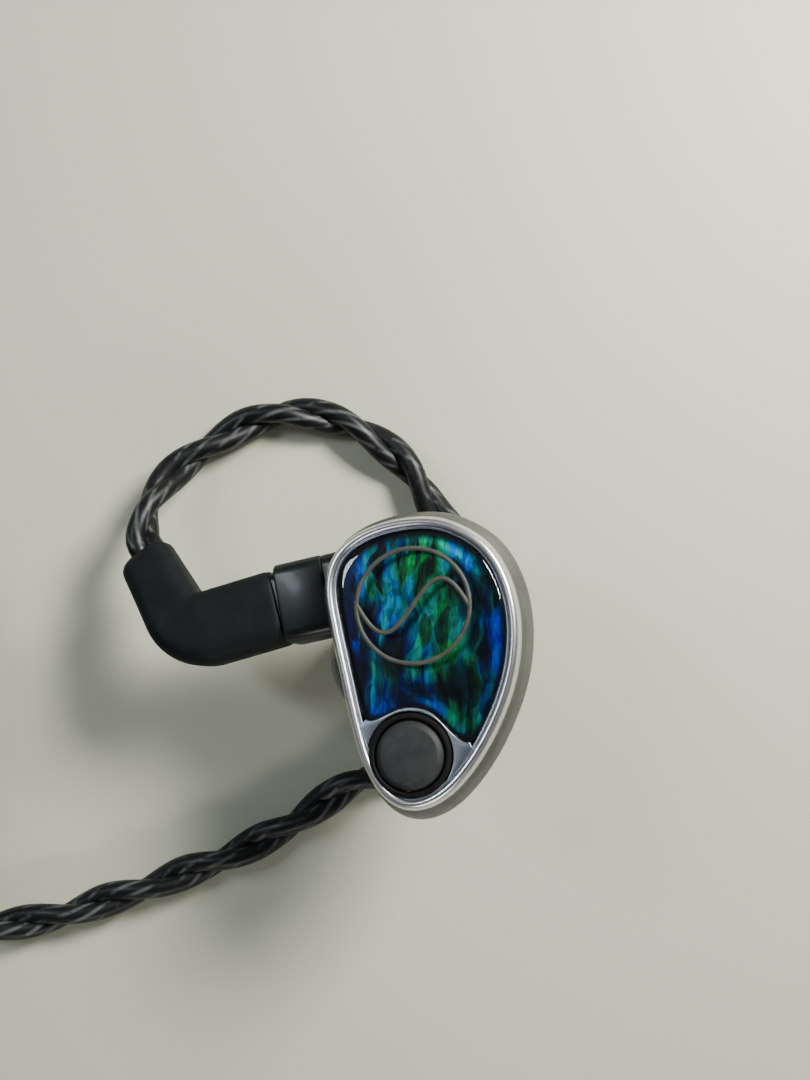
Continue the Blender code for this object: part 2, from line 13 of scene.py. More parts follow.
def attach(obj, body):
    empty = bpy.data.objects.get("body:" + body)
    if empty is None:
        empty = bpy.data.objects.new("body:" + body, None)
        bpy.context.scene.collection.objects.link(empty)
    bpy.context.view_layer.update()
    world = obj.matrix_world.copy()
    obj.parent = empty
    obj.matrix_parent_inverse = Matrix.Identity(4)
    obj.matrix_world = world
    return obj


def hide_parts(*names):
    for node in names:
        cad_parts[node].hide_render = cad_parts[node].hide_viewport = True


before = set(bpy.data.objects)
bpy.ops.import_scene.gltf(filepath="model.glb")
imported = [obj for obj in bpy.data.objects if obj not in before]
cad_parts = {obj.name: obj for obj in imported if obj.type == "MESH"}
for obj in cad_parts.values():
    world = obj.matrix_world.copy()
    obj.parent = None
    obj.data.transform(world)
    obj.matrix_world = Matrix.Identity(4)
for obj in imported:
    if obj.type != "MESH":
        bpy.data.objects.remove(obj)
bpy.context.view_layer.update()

MM = 0.001
UP = Vector((0, 0, 1))

# Places and sizes. They are the CAD's, apart from the boots and the cord's strands, columns and layers.
TABLE_AT = Vector((-1.1, 0.1, 0.0))
FACE_AT = Vector((9.0, 0.6, 19.38))
LEAN_LEFT, LEAN_UP = math.radians(-12), math.radians(-7)
FACE_OUTLINE = (
    (0.3, 11.2), (-3.7, 10.6), (-6.7, 8.8), (-7.8, 6.0), (-7.3, 2.9), (-6.2, -1.4), (-5.2, -5.2),
    (-4.3, -7.9), (-2.8, -10.3), (-0.5, -11.4), (2.4, -10.2), (5.1, -6.8), (7.1, -2.2), (7.7, 2.0),
    (7.1, 5.8), (5.3, 9.0), (2.5, 10.7),
)
BEZEL_WIDE = 1.05
INLAY_CENTRE = Vector((0.3, 2.0))
EMBLEM_AT, EMBLEM_RADIUS, WIRE = Vector((-0.55, 4.16)), 4.57, 0.36
MODULE_AT = Vector((-0.5, -7.1))
MODULE_CLEAR = 3.65
SHELL_RINGS = (
    (-1.8, 1.0, 0.0), (-2.7, 1.05, 0.0), (-4.2, 1.075, 0.0), (-5.6, 1.04, 0.06),
    (-6.9, 0.94, 0.2), (-7.9, 0.82, 0.42), (-8.6, 0.7, 0.7),
)
SHELL_WALL = 0.9
NOZZLE_AT, NOZZLE_WAY = Vector((-2.2, 0.3, -8.9)), Vector((-0.474, 0.095, -0.876)).normalized()
NECK_RADIUS, NECK_LONG = 3.6, 1.0
NOZZLE_RADIUS, NOZZLE_BORE, NOZZLE_LONG = 2.5, 1.8, 6.4
TIP_START, TIP_END = 2.1, 9.9
PLUG_AT, PLUG_WAY = Vector((-12.0, 4.34, -4.6)), Vector((-0.975, -0.222, 0)).normalized()
HOUSING_LONG, HOUSING_TALL, HOUSING_THICK = 3.9, 6.4, 5.0
SOCKET_LONG, SOCKET_TALL, SOCKET_THICK = 3.4, 4.6, 2.9
PIN_RADIUS, PIN_APART, PIN_LONG = 0.39, 2.2, 5.2
BOOT_PATH = ((-12.1, 4.26, -4.6), (-20.1, 1.9, -4.8), (-25.1, 8.8, -6.2))
LEAD_ROUTE = (
    (-14.2, 9.6, 6.6), (-14.2, 11.0, 6.1), (-13.9, 12.7, 5.1), (-12.6, 15.1, 3.5), (-10.5, 17.1, 2.2),
    (-7.7, 19.0, 1.6), (-5.4, 20.2, 1.5), (-2.3, 21.0, 1.5), (0.8, 20.6, 1.5), (3.6, 19.7, 1.5),
    (6.1, 18.1, 1.5), (8.2, 16.2, 1.5), (9.6, 14.2, 1.5), (11.0, 11.8, 1.5), (14.0, 8.8, 1.5),
    (16.6, 4.8, 1.5), (17.4, 0.4, 1.5), (16.2, -4.0, 1.5), (13.0, -7.6, 1.5), (8.6, -10.2, 1.5),
    (3.8, -11.6, 1.5), (1.1, -13.3, 1.5), (-1.9, -15.4, 1.5), (-4.4, -16.7, 1.5), (-7.5, -18.3, 1.5),
    (-11.1, -19.6, 1.5), (-14.3, -20.9, 1.5), (-18.1, -22.1, 1.5), (-22.4, -23.5, 1.5),
    (-27.4, -24.4, 1.5), (-32.8, -25.0, 1.5), (-38.4, -25.4, 1.7),
)
COIL_AT = Vector((-56.0, -4.0))
COIL_INNER, COIL_OUTER, COIL_LOW, COIL_TOP = 11.0, 26.0, 0.75, 9.6
COLUMNS, LAYERS = (12.5, 15.5, 18.5, 21.5, 24.5), (2.22, 5.17, 8.12)
LAYER_RISE = 2.95
TOP_LEVEL = 11.35
LEFT_TOP, RIGHT_TOP = 15.45, 18.55
STRAND_RADIUS, STRAND_REACH, STRAND_SIDES, HALF_PITCH = 0.86, 0.64, 14, 7.2
SPARE_ROUTE = (
    (-88.1, -23.8, 3.0), (-85.5, -23.5, 2.2), (-83.4, -22.3, 1.6), (-82.2, -20.0, 1.5), (-81.6, -17.2, 1.5),
)
SPARE_BOOT_PATH = ((-88.7, -23.9, 3.1), (-95.9, -21.3, 3.1), (-95.9, -12.4, 3.1))
BOOT_TALL, BOOT_SHORT, BOOT_END, BOOT_FLAT = 6.1, 5.3, 4.6, 0.78
SPLITTER_LONG, SPLITTER_WIDE, SPLITTER_TALL = 11.0, 6.4, 3.6
SPLITTER_ANGLE, SPLITTER_RADIUS = math.radians(-20), 17.0
JACK_FROM, JACK_WAY = Vector((-53.5, -11.6, 13.0)), Vector((-0.9, -0.436, 0)).normalized()
TAIL_RADIUS, TAIL_LOW = 7.9, 2.2
TIE_WIDE, TIE_THICK, TIE_ANGLE = 7.0, 0.4, math.radians(150)

TABLE = Matrix.Translation(TABLE_AT)
LEAN = Euler((LEAN_UP, LEAN_LEFT, 0), "XYZ").to_matrix().to_4x4()
FACE = Matrix.Translation(TABLE_AT + FACE_AT) @ LEAN


# ---------------------------------------------------------------- materials

def add_node(tree, kind, **inputs):
    """A new node. An input given a socket is linked to it, and any other is set to its value."""
    made = tree.nodes.new(kind)
    for socket, value in inputs.items():
        feed(tree, made.inputs[socket.replace("_", " ")], value)
    return made


def feed(tree, socket, value):
    if isinstance(value, bpy.types.NodeSocket):
        tree.links.new(value, socket)
    else:
        socket.default_value = value


def set_stops(node, stops):
    """Gives a colour ramp its stops, each a place and a colour or a grey."""
    points = node.color_ramp.elements
    while len(points) < len(stops):
        points.new(1.0)
    for point, (at, value) in zip(points, stops):
        point.position = at
        point.color = (*value, 1) if isinstance(value, tuple) else (value, value, value, 1)


class Shader:
    """A material whose nodes are added by short calls. Object coordinates are read in millimetres."""

    def __init__(self, name, rough=0.4, metal=0.0, **sockets):
        self.material = bpy.data.materials.new(name)
        self.material.use_nodes = True
        self.tree = self.material.node_tree
        self.surface = self.tree.nodes["Principled BSDF"]
        self.set("Roughness", rough)
        self.set("Metallic", metal)
        for socket, value in sockets.items():
            self.set(socket.replace("_", " "), value)
        place = self.add("ShaderNodeTexCoord")
        self.where = place.outputs["Object"]
        self.around = place.outputs["UV"]
        self.mm = self.scaled(self.where, (1000, 1000, 1000))

    def add(self, kind, **inputs):
        return add_node(self.tree, kind, **inputs)

    def feed(self, socket, value):
        feed(self.tree, socket, value)

    def set(self, socket, value):
        if isinstance(value, tuple) and len(value) == 3:
            value = (*value, 1)
        self.feed(self.surface.inputs[socket], value)

    def colour(self, field, low, high, ends=(0.3, 0.7)):
        """A base colour that goes from low to high as a field goes from one end to the other."""
        self.set("Base Color", self.ramp(field, (ends[0], low), (ends[1], high)))

    def plane(self, how, source, by):
        """A node that works on a vector with another."""
        made = self.add("ShaderNodeVectorMath", Vector=source)
        made.operation = how
        made.inputs[1].default_value = by
        return made

    def scaled(self, source, by, turn=(0, 0, 0), move=(0, 0, 0)):
        made = self.add("ShaderNodeMapping", Vector=source, Scale=by, Rotation=turn, Location=move)
        return made.outputs[0]

    def noise(self, scale, detail=3.0, rough=0.5, source=None):
        made = self.add("ShaderNodeTexNoise", Vector=source or self.mm, Scale=scale, Detail=detail,
                        Roughness=rough)
        return made.outputs["Fac"]

    def cells(self, scale, source=None, output="Distance", randomness=1.0):
        made = self.add("ShaderNodeTexVoronoi", Vector=source or self.mm, Scale=scale, Randomness=randomness)
        return made.outputs[output]

    def split(self, source):
        return self.add("ShaderNodeSeparateXYZ", Vector=source).outputs

    def ramp(self, source, *stops, smooth=True):
        made = self.add("ShaderNodeValToRGB", Fac=source)
        made.color_ramp.interpolation = "EASE" if smooth else "LINEAR"
        set_stops(made, stops)
        return made.outputs["Color"]

    def mix(self, share, a, b, how="MIX"):
        made = self.add("ShaderNodeMix")
        made.data_type = "RGBA"
        made.blend_type = how
        self.feed(made.inputs[0], share)
        for socket, value in ((made.inputs[6], a), (made.inputs[7], b)):
            if isinstance(value, float):
                value = (value, value, value)
            self.feed(socket, (*value, 1) if isinstance(value, tuple) else value)
        return made.outputs[2]

    def math(self, how, a, b=0.0, clamp=False):
        made = self.add("ShaderNodeMath")
        made.operation = how
        made.use_clamp = clamp
        self.feed(made.inputs[0], a)
        self.feed(made.inputs[1], b)
        return made.outputs[0]

    def moved(self, source, field, by):
        """source shifted by a field of 0 to 1 about its middle, by a distance along each axis."""
        centred = self.plane("SUBTRACT", field, (0.5, 0.5, 0.5))
        made = self.plane("MULTIPLY_ADD", centred.outputs[0], by)
        self.feed(made.inputs[2], source)
        return made.outputs[0]

    def near(self, middle, reach, soft=0.5, source=None):
        """1 inside an oval about middle, falling to 0 at its edge."""
        moved = self.plane("SUBTRACT", source or self.mm, (*middle, 0))
        shrunk = self.plane("MULTIPLY", moved.outputs[0], (1 / reach[0], 1 / reach[1], 0))
        far = self.plane("LENGTH", shrunk.outputs[0], (0, 0, 0)).outputs["Value"]
        made = self.add("ShaderNodeMapRange", Value=far, From_Min=1.0, From_Max=1.0 - soft)
        made.interpolation_type = "SMOOTHSTEP"
        return made.outputs[0]

    def bump(self, height, strength, depth=0.05):
        made = self.add("ShaderNodeBump", Height=height, Strength=strength, Distance=depth * MM)
        normal = self.surface.inputs["Normal"]
        if normal.is_linked:
            self.feed(made.inputs["Normal"], normal.links[0].from_socket)
        self.feed(normal, made.outputs[0])

    def rough(self, source, low, high):
        made = self.add("ShaderNodeMapRange", Value=source, To_Min=low, To_Max=high)
        self.feed(self.surface.inputs["Roughness"], made.outputs[0])


def polished_metal():
    """Bright polished alloy with faint handling marks."""
    made = Shader("polished_metal", 0.13, 1.0)
    made.colour(made.noise(0.35, 4, 0.6), (0.62, 0.63, 0.65), (0.74, 0.745, 0.755))
    marks = made.noise(3.0, 5, 0.7, made.scaled(made.mm, (1, 6, 3), (0.3, 0.2, 0.7)))
    made.rough(marks, 0.24, 0.34)
    made.bump(made.noise(14, 2, 0.6), 0.05, 0.01)
    return made.material


def satin_metal():
    """Fine blasted alloy on the body's sides."""
    made = Shader("satin_metal", 0.33, 1.0, Specular_Tint=(0.62, 0.62, 0.62, 1))
    made.colour(made.noise(0.22, 3, 0.6), (0.17, 0.172, 0.175), (0.25, 0.252, 0.255), (0.25, 0.75))
    made.rough(made.noise(2.2, 5, 0.7), 0.27, 0.45)
    made.bump(made.noise(22, 3, 0.7), 0.35, 0.02)
    return made.material


def land_metal():
    """The flat round the vent module, with fine turned lines; its dark blue-grey is a painted reflection."""
    made = Shader("land_metal", 0.3, 1.0)
    # Painted reflection: the bezel's alloy is tinted darker and blue-grey here to stand for the dark
    # surroundings it reflects.
    made.colour(made.noise(0.5, 4, 0.6), (0.21, 0.24, 0.28), (0.31, 0.345, 0.39), (0.25, 0.75))
    lines = made.noise(9, 3, 0.6, made.scaled(made.mm, (1, 9, 1), (0, 0, 0.9)))
    made.rough(lines, 0.28, 0.42)
    made.bump(lines, 0.08, 0.015)
    return made.material


def abalone():
    """Laminated abalone: near-black ground, upright folded streaks, drifts of blue and green, and painted
    shade round its edge.
    """
    made = Shader("abalone", 0.4, 0.0, Specular_IOR_Level=0.12)
    warp = made.add("ShaderNodeTexNoise", Vector=made.mm, Scale=0.34, Detail=0.6)
    folded = made.moved(made.mm, warp.outputs["Color"], (1.3, 1.6, 0))
    upright = made.scaled(folded, (1.0, 0.24, 1.0), (0, 0, 0.10))
    streak = made.noise(0.95, 3, 0.5, upright)
    fibre = made.noise(4.2, 3, 0.55, upright)
    flake = made.split(made.cells(1.0, made.scaled(folded, (1.45, 0.38, 1.0), (0, 0, 0.06)), "Color"))
    small = made.scaled(folded, (2.3, 1.3, 1.0), (0, 0, 0.3), (2, 5, 0))
    chip = made.split(made.cells(1.0, small, "Color"))

    hue = made.noise(0.55, 2, 0.5, made.scaled(folded, (1, 0.55, 1), (0, 0, 0), (7, 2, 0)))
    drift = 0.5
    for at, reach, share, value in (
        ((0.4, 7.4), (3.6, 4.4), 1.0, 0.76), ((1.7, 1.6), (1.8, 5.6), 1.0, 0.82),
        ((-2.4, 4.6), (2.0, 3.0), 0.9, 0.62), ((-6.3, 0.6), (2.2, 8.4), 1.0, 0.14),
        ((-5.2, 7.2), (2.2, 3.2), 0.95, 0.36), ((3.7, 7.6), (1.5, 3.4), 0.9, 0.58),
        ((5.9, 1.0), (1.9, 6.6), 0.95, 0.32), ((-1.0, -2.6), (2.6, 2.0), 0.9, 0.18),
        ((-3.9, -4.4), (2.2, 2.4), 0.9, 0.34), ((3.6, -4.6), (2.4, 2.4), 0.9, 0.52),
    ):
        drift = made.mix(made.math("MULTIPLY", made.near(at, reach, 0.8, folded), share), drift, value)
    slanted = made.scaled(folded, (1, 1, 1), (0, 0, 0.53))
    fold = made.near((1.5, -2.5), (3.9, 0.75), 0.8, slanted)
    drift = made.mix(fold, drift, 0.40)
    spread = made.math("MULTIPLY", made.math("SUBTRACT", hue, 0.5), 0.9)
    patch = made.math("MULTIPLY", made.math("SUBTRACT", flake["Y"], 0.5), 0.34)
    spread = made.math("ADD", spread, patch)
    colour = made.ramp(
        made.math("ADD", drift, spread, True),
        (0.0, (0.010, 0.003, 0.26)), (0.18, (0.0, 0.012, 0.62)), (0.36, (0.0, 0.15, 0.95)),
        (0.52, (0.0, 0.46, 0.72)), (0.70, (0.0, 0.66, 0.34)), (0.88, (0.0, 0.72, 0.13)),
        (1.0, (0.02, 0.84, 0.07)), smooth=False,
    )

    light = made.ramp(streak, (0.34, 0.04), (0.46, 0.6), (0.58, 1.0))
    flakes = made.ramp(flake["X"], (0.12, 0.16), (0.45, 0.7), (0.9, 1.0))
    chips = made.ramp(chip["X"], (0.1, 0.5), (0.8, 1.0))
    bright = made.mix(0.9, light, flakes, "MULTIPLY")
    bright = made.mix(0.8, bright, chips, "MULTIPLY")
    bright = made.mix(0.6, bright, made.ramp(fibre, (0.36, 0.25), (0.60, 1.0)), "MULTIPLY")
    along_fold = made.noise(1.5, 2, 0.5, made.scaled(slanted, (0.4, 1.6, 1.0)))
    ridge = made.ramp(along_fold, (0.38, 0.15), (0.58, 0.8))
    bright = made.mix(made.math("MULTIPLY", fold, 0.85), bright, ridge)
    bright = made.math("MULTIPLY", bright, 1.35, True)
    for at, reach, share in (
        ((-2.0, 0.2), (1.7, 3.0), 0.93), ((-1.2, -2.4), (2.4, 1.5), 0.75), ((3.2, -1.4), (1.9, 2.8), 0.85),
        ((5.2, 5.6), (1.5, 2.6), 0.85), ((-4.3, 1.6), (0.9, 4.6), 0.85), ((-4.9, -1.2), (1.3, 2.0), 0.8),
        ((1.9, -2.0), (1.9, 1.1), 0.85), ((-0.6, -4.0), (2.0, 0.9), 0.8), ((3.9, 3.4), (0.7, 3.4), 0.6),
    ):
        bright = made.mix(made.math("MULTIPLY", made.near(at, reach, 0.6, folded), share), bright, 0.0)
    # Painted shade: the sheet goes near black in a narrow band along its outer edge, where the bezel's wall
    # shades it.
    rim = made.split(made.around)["X"]
    bright = made.mix(1.0, bright, made.ramp(rim, (0.90, 1.0), (0.975, 0.04)), "MULTIPLY")
    colour = made.mix(1.0, colour, bright, "MULTIPLY")
    made.set("Base Color", made.mix(1.0, colour, (0.0003, 0.0012, 0.0025), "ADD"))
    made.set("Metallic", made.ramp(bright, (0.1, 0.0), (0.7, 0.35)))
    made.rough(fibre, 0.25, 0.42)
    made.bump(streak, 0.2, 0.1)
    return made.material


def resin():
    """Clear cast resin: only its gloss shows."""
    made = bpy.data.materials.new("clear_resin")
    made.use_nodes = True
    tree = made.node_tree
    tree.nodes.remove(tree.nodes["Principled BSDF"])
    place = add_node(tree, "ShaderNodeTexCoord").outputs["Object"]
    swell = add_node(tree, "ShaderNodeTexNoise", Vector=place, Scale=260.0, Detail=1.0).outputs["Fac"]
    lift = add_node(tree, "ShaderNodeBump", Height=swell, Strength=0.25, Distance=0.12 * MM).outputs[0]
    gloss = add_node(tree, "ShaderNodeBsdfGlossy", Color=(0.93, 0.96, 1.0, 1), Roughness=0.04, Normal=lift)
    clear = add_node(tree, "ShaderNodeBsdfTransparent", Color=(0.97, 0.99, 1.0, 1))
    share = add_node(tree, "ShaderNodeFresnel", IOR=1.5)
    both = add_node(tree, "ShaderNodeMixShader")
    for socket, source in zip(both.inputs, (share, clear, gloss)):
        feed(tree, socket, source.outputs[0])
    feed(tree, tree.nodes["Material Output"].inputs["Surface"], both.outputs[0])
    return made


def wire_metal():
    """The emblem's dark wire."""
    made = Shader("emblem_wire", 0.55, 0.15, Specular_IOR_Level=0.25)
    made.colour(made.noise(1.1, 4, 0.6), (0.036, 0.040, 0.033), (0.06, 0.064, 0.052))
    made.rough(made.noise(6, 3, 0.6), 0.42, 0.6)
    made.bump(made.noise(20, 2, 0.6), 0.15, 0.02)
    return made.material


def anodised(name, low, high, rough=(0.3, 0.48), metal=0.75, **sockets):
    """Dark anodised metal with a fine grain."""
    made = Shader(name, 0.4, metal, **sockets)
    made.colour(made.noise(0.8, 4, 0.6), low, high)
    made.rough(made.noise(5, 4, 0.7), *rough)
    made.bump(made.noise(26, 3, 0.7), 0.35, 0.02)
    return made.material


def rubber(name, low, high, grain=16.0, rough=(0.5, 0.68)):
    """Moulded black rubber with a fine spark-eroded grain."""
    made = Shader(name, 0.6, 0.0, Specular_IOR_Level=0.12)
    made.colour(made.noise(0.45, 4, 0.65), low, high, (0.3, 0.75))
    made.rough(made.noise(1.2, 4, 0.6), *rough)
    made.bump(made.noise(grain, 3, 0.65), 0.35, 0.04)
    made.bump(made.noise(0.55, 3, 0.5), 0.2, 0.12)
    return made.material


def gloss_polymer(name, low, high):
    """Hard polished moulded polymer with a hint of green in it."""
    made = Shader(name, 0.3, 0.0, Specular_IOR_Level=0.3, Coat_Weight=0.08, Coat_Roughness=0.12)
    made.colour(made.noise(0.35, 3, 0.5), low, high, (0.3, 0.75))
    made.rough(made.noise(1.6, 5, 0.65), 0.28, 0.42)
    made.bump(made.noise(1.1, 2, 0.5), 0.12, 0.05)
    return made.material


def gold():
    """Gold plating on pins and contacts."""
    made = Shader("gold_contact", 0.2, 1.0)
    made.colour(made.noise(0.7, 4, 0.6), (0.72, 0.47, 0.16), (0.86, 0.62, 0.27))
    made.rough(made.noise(4, 4, 0.65), 0.14, 0.32)
    made.bump(made.noise(12, 2, 0.6), 0.12, 0.02)
    return made.material


def silicone():
    """Soft dark silicone of the ear tip."""
    made = Shader("tip_silicone", 0.45, 0.0, Subsurface_Weight=0.15, Sheen_Weight=0.08)
    made.surface.inputs["Subsurface Radius"].default_value = (0.002, 0.002, 0.002)
    made.colour(made.noise(0.3, 3, 0.5), (0.035, 0.036, 0.04), (0.06, 0.061, 0.066))
    made.rough(made.noise(1.5, 4, 0.6), 0.36, 0.55)
    made.bump(made.noise(18, 2, 0.6), 0.2, 0.03)
    return made.material


def jacket():
    """A smoky clear jacket over stranded wire.

    UV runs along the strand in millimetres, and round it from 0 to 1.
    """
    made = Shader("cable_jacket", 0.25, 0.0, Specular_IOR_Level=0.26)
    twist = made.scaled(made.around, (0.25, math.pi, 1.0))
    wave = made.add("ShaderNodeTexWave", Vector=twist, Scale=1.0, Distortion=0.8, Detail=1.0)
    wave.bands_direction = "DIAGONAL"
    wires = wave.outputs["Fac"]
    grey = made.ramp(wires, (0.45, (0.003, 0.0036, 0.004)), (0.75, (0.019, 0.023, 0.023)),
                     (0.95, (0.062, 0.070, 0.068)))
    smoke = made.ramp(made.noise(0.42, 4, 0.6), (0.40, 0.0), (0.58, 1.0))
    made.set("Base Color", made.mix(smoke, (0.0035, 0.0042, 0.0046), grey))
    made.rough(made.noise(2.0, 4, 0.6), 0.34, 0.52)
    made.bump(made.noise(1.3, 3, 0.5), 0.2, 0.08)
    made.bump(wires, 0.08, 0.03)
    return made.material


def strap():
    """Woven hook-and-loop strap."""
    made = Shader("tie_strap", 0.85, 0.0, Sheen_Weight=0.08, Specular_IOR_Level=0.2)
    weave = made.cells(3.4, randomness=0.35)
    made.colour(weave, (0.022, 0.022, 0.024), (0.005, 0.005, 0.006), (0.1, 0.55))
    made.rough(made.noise(3, 3, 0.6), 0.75, 0.95)
    made.bump(weave, 0.7, 0.12)
    return made.material


def steel(name, low=(0.42, 0.42, 0.43), high=(0.62, 0.62, 0.63)):
    """Plain turned metal, steel unless its colours say otherwise."""
    made = Shader(name, 0.3, 1.0)
    made.colour(made.noise(0.6, 4, 0.6), low, high)
    made.rough(made.noise(6, 4, 0.7, made.scaled(made.mm, (1, 1, 6))), 0.22, 0.42)
    made.bump(made.noise(18, 3, 0.65), 0.2, 0.02)
    return made.material


def perforated():
    """The round-holed screen over the nozzle's mouth, its holes painted shade."""
    made = Shader("nozzle_screen", 0.35, 1.0)
    holes = made.cells(2.4, randomness=0.0)
    # Painted shade: each hole is a near-black spot in the colour rather than an opening, standing for the
    # dark bore behind it.
    made.set("Base Color", made.ramp(holes, (0.22, 0.008), (0.3, 0.5), smooth=False))
    made.rough(made.noise(6, 3, 0.6), 0.28, 0.45)
    made.bump(holes, 0.5, 0.1)
    return made.material


# ---------------------------------------------------------------- mesh helpers

def smooth_loop(points, steps):
    """Points at equal steps along a closed smooth curve through the points given."""
    count, dense, per = len(points), [], 24
    for i in range(count):
        a, b, c, d = (Vector(points[(i + k) % count]) for k in (-1, 0, 1, 2))
        for s in range(per):
            dense.append(catmull(a, b, c, d, s / per))
    return spaced(dense + dense[:1], steps + 1)[:-1]


def eased_loop(points, passes):
    """A closed loop with each point drawn towards its neighbours, pass after pass."""
    for _ in range(passes):
        after = points[1:] + points[:1]
        points = [(points[i - 1] + 2 * p + q) / 4 for i, (p, q) in enumerate(zip(points, after))]
    return points


def smooth_line(points, steps):
    """Points at equal steps along a smooth open curve through the points given."""
    ends = [2 * Vector(points[0]) - Vector(points[1]), *map(Vector, points),
            2 * Vector(points[-1]) - Vector(points[-2])]
    dense, per = [], 12
    for a, b, c, d in zip(ends, ends[1:], ends[2:], ends[3:]):
        for s in range(per):
            dense.append(catmull(a, b, c, d, s / per))
    return spaced(dense + [Vector(points[-1])], steps)


def catmull(a, b, c, d, t):
    """A point from b to c on a smooth curve through four points."""
    square, cube = 2 * a - 5 * b + 4 * c - d, 3 * b - a - 3 * c + d
    return 0.5 * (2 * b + (c - a) * t + square * t ** 2 + cube * t ** 3)


def spaced(line, count):
    """Points at equal steps along a line of many points."""
    lengths = [0.0]
    for a, b in zip(line, line[1:]):
        lengths.append(lengths[-1] + (b - a).length)
    found, k = [], 0
    for i in range(count):
        want = lengths[-1] * i / (count - 1)
        while k < len(line) - 2 and lengths[k + 1] < want:
            k += 1
        share = (want - lengths[k]) / max(lengths[k + 1] - lengths[k], 1e-9)
        found.append(line[k].lerp(line[k + 1], min(max(share, 0), 1)))
    return found


def length_of(line):
    return sum((b - a).length for a, b in zip(line, line[1:]))


def inset(outline, by):
    """The outline moved inwards by a distance."""
    count, moved = len(outline), []
    for i, p in enumerate(outline):
        along = (outline[(i + 1) % count] - outline[i - 1]).normalized()
        moved.append(p + Vector((-along.y, along.x)) * by)
    return moved


def ray_to(outline, start, way):
    """How far a ray from inside the outline goes before it meets it."""
    side = Vector((-way.y, way.x))
    for a, b in zip(outline, outline[1:] + outline[:1]):
        u, v = (a - start).dot(side), (b - start).dot(side)
        if u * v <= 0 and u != v:
            reach = (a + (b - a) * u / (u - v) - start).dot(way)
            if reach > 0:
                return reach
    return 0.0


def lofted(rings, closed=False):
    """A skin over rings of points, capped at both ends unless it closes on itself."""
    body = bmesh.new()
    rows = [[body.verts.new(p) for p in ring] for ring in rings]
    pairs = list(zip(rows, rows[1:]))
    if closed:
        pairs.append((rows[-1], rows[0]))
    for low, high in pairs:
        for i in range(len(low)):
            j = (i + 1) % len(low)
            body.faces.new((low[i], low[j], high[j], high[i]))
    if not closed:
        body.faces.new(rows[0])
        body.faces.new(rows[-1])
    return body


def frame_on(at, way):
    """A place whose z points along way."""
    return Matrix.Translation(at) @ Vector(way).to_track_quat("Z", "Y").to_matrix().to_4x4()


def turned(profile, steps, hollow=False):
    """A profile of (radius, z) points turned about z: a closed loop if hollow, else capped."""
    angles = [math.tau * i / steps for i in range(steps)]
    rings = [[Vector((r * math.cos(a), r * math.sin(a), z)) for a in angles] for r, z in profile]
    return lofted(rings, closed=hollow)


def plug_frame(root, way, up, along):
    """A place some way along a plug, with z along the plug and y up."""
    axes = Matrix((up.cross(way).normalized(), up, way)).transposed().to_4x4()
    return Matrix.Translation(root + way * along) @ axes


def block_ring(wide, tall, bevel, corner=4):
    """A rounded rectangle, with corner steps on each corner."""
    x, y = wide / 2 - bevel, tall / 2 - bevel
    found = []
    for k, (cx, cy) in enumerate(((x, y), (-x, y), (-x, -y), (x, -y))):
        for s in range(corner + 1):
            a = math.pi / 2 * (k + s / corner)
            found.append((cx + bevel * math.cos(a), cy + bevel * math.sin(a)))
    return found


def block(wide, tall, low, high, bevel, edge, steps):
    """A block along z whose upright corners and end edges are both rounded."""
    rings, shares = [], [s / steps for s in range(steps + 1)]
    for z, way, share in [(low, 1, s) for s in shares] + [(high, -1, 1 - s) for s in shares]:
        a = share * math.pi / 2
        shrink, lift = edge * (1 - math.sin(a)), edge * (1 - math.cos(a))
        ring = block_ring(wide - 2 * shrink, tall - 2 * shrink, max(bevel - shrink, 0.05))
        rings.append([Vector((x, y, z + way * lift)) for x, y in ring])
    return lofted(rings)


def swept(points, section):
    """Rings of one section across a path, upright."""
    rings = []
    last = len(points) - 1
    for i, p in enumerate(points):
        along = (points[min(i + 1, last)] - points[max(i - 1, 0)]).normalized()
        across = UP.cross(along).normalized()
        lift = along.cross(across).normalized()
        rings.append([p + across * a + lift * b for a, b in section])
    return rings


def solid(name, body, place):
    """A bmesh in millimetres in the frame of place becomes an object, and is freed."""
    bmesh.ops.recalc_face_normals(body, faces=body.faces)
    if body.calc_volume(signed=True) < 0:
        bmesh.ops.reverse_faces(body, faces=body.faces)
    bmesh.ops.transform(body, matrix=Matrix.Scale(MM, 4), verts=body.verts)
    mesh = bpy.data.meshes.new(name)
    body.to_mesh(mesh)
    body.free()
    made = bpy.data.objects.new(name, mesh)
    bpy.context.scene.collection.objects.link(made)
    made.matrix_world = Matrix.Translation(place.to_translation() * MM) @ place.to_3x3().to_4x4()
    return made


def shade(made, angle):
    """Smooth shading, with the edges past an angle in degrees kept sharp."""
    made.data.shade_smooth()
    made.data.set_sharp_from_angle(angle=math.radians(angle))


def dress(made, material):
    made.data.materials.clear()
    made.data.materials.append(material)


def piece(name, body, material, body_name, place=TABLE, replaces=(), angle=40):
    """A piece of the looks that rides on a CAD body and stands for the nodes it replaces."""
    made = solid(name, body, place)
    dress(made, material)
    shade(made, angle)
    if body_name:
        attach(made, body_name)
    if replaces:
        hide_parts(*replaces)
    return made


def cut(target, body, place):
    """Takes a shape out of a piece for good."""
    tool = solid("cutter", body, place)
    change = target.modifiers.new("cut", "BOOLEAN")
    change.operation, change.solver, change.object = "DIFFERENCE", "EXACT", tool
    keep_modifiers(target)
    bpy.data.objects.remove(tool)


def mesh_now(source):
    """A mesh of an object as it is with its modifiers."""
    bpy.context.view_layer.update()
    graph = bpy.context.evaluated_depsgraph_get()
    return bpy.data.meshes.new_from_object(source.evaluated_get(graph))


def keep_modifiers(target):
    """Applies every modifier of a piece to its mesh."""
    made = mesh_now(target)
    target.modifiers.clear()
    target.data = made


# ---------------------------------------------------------------- camera, light and floor

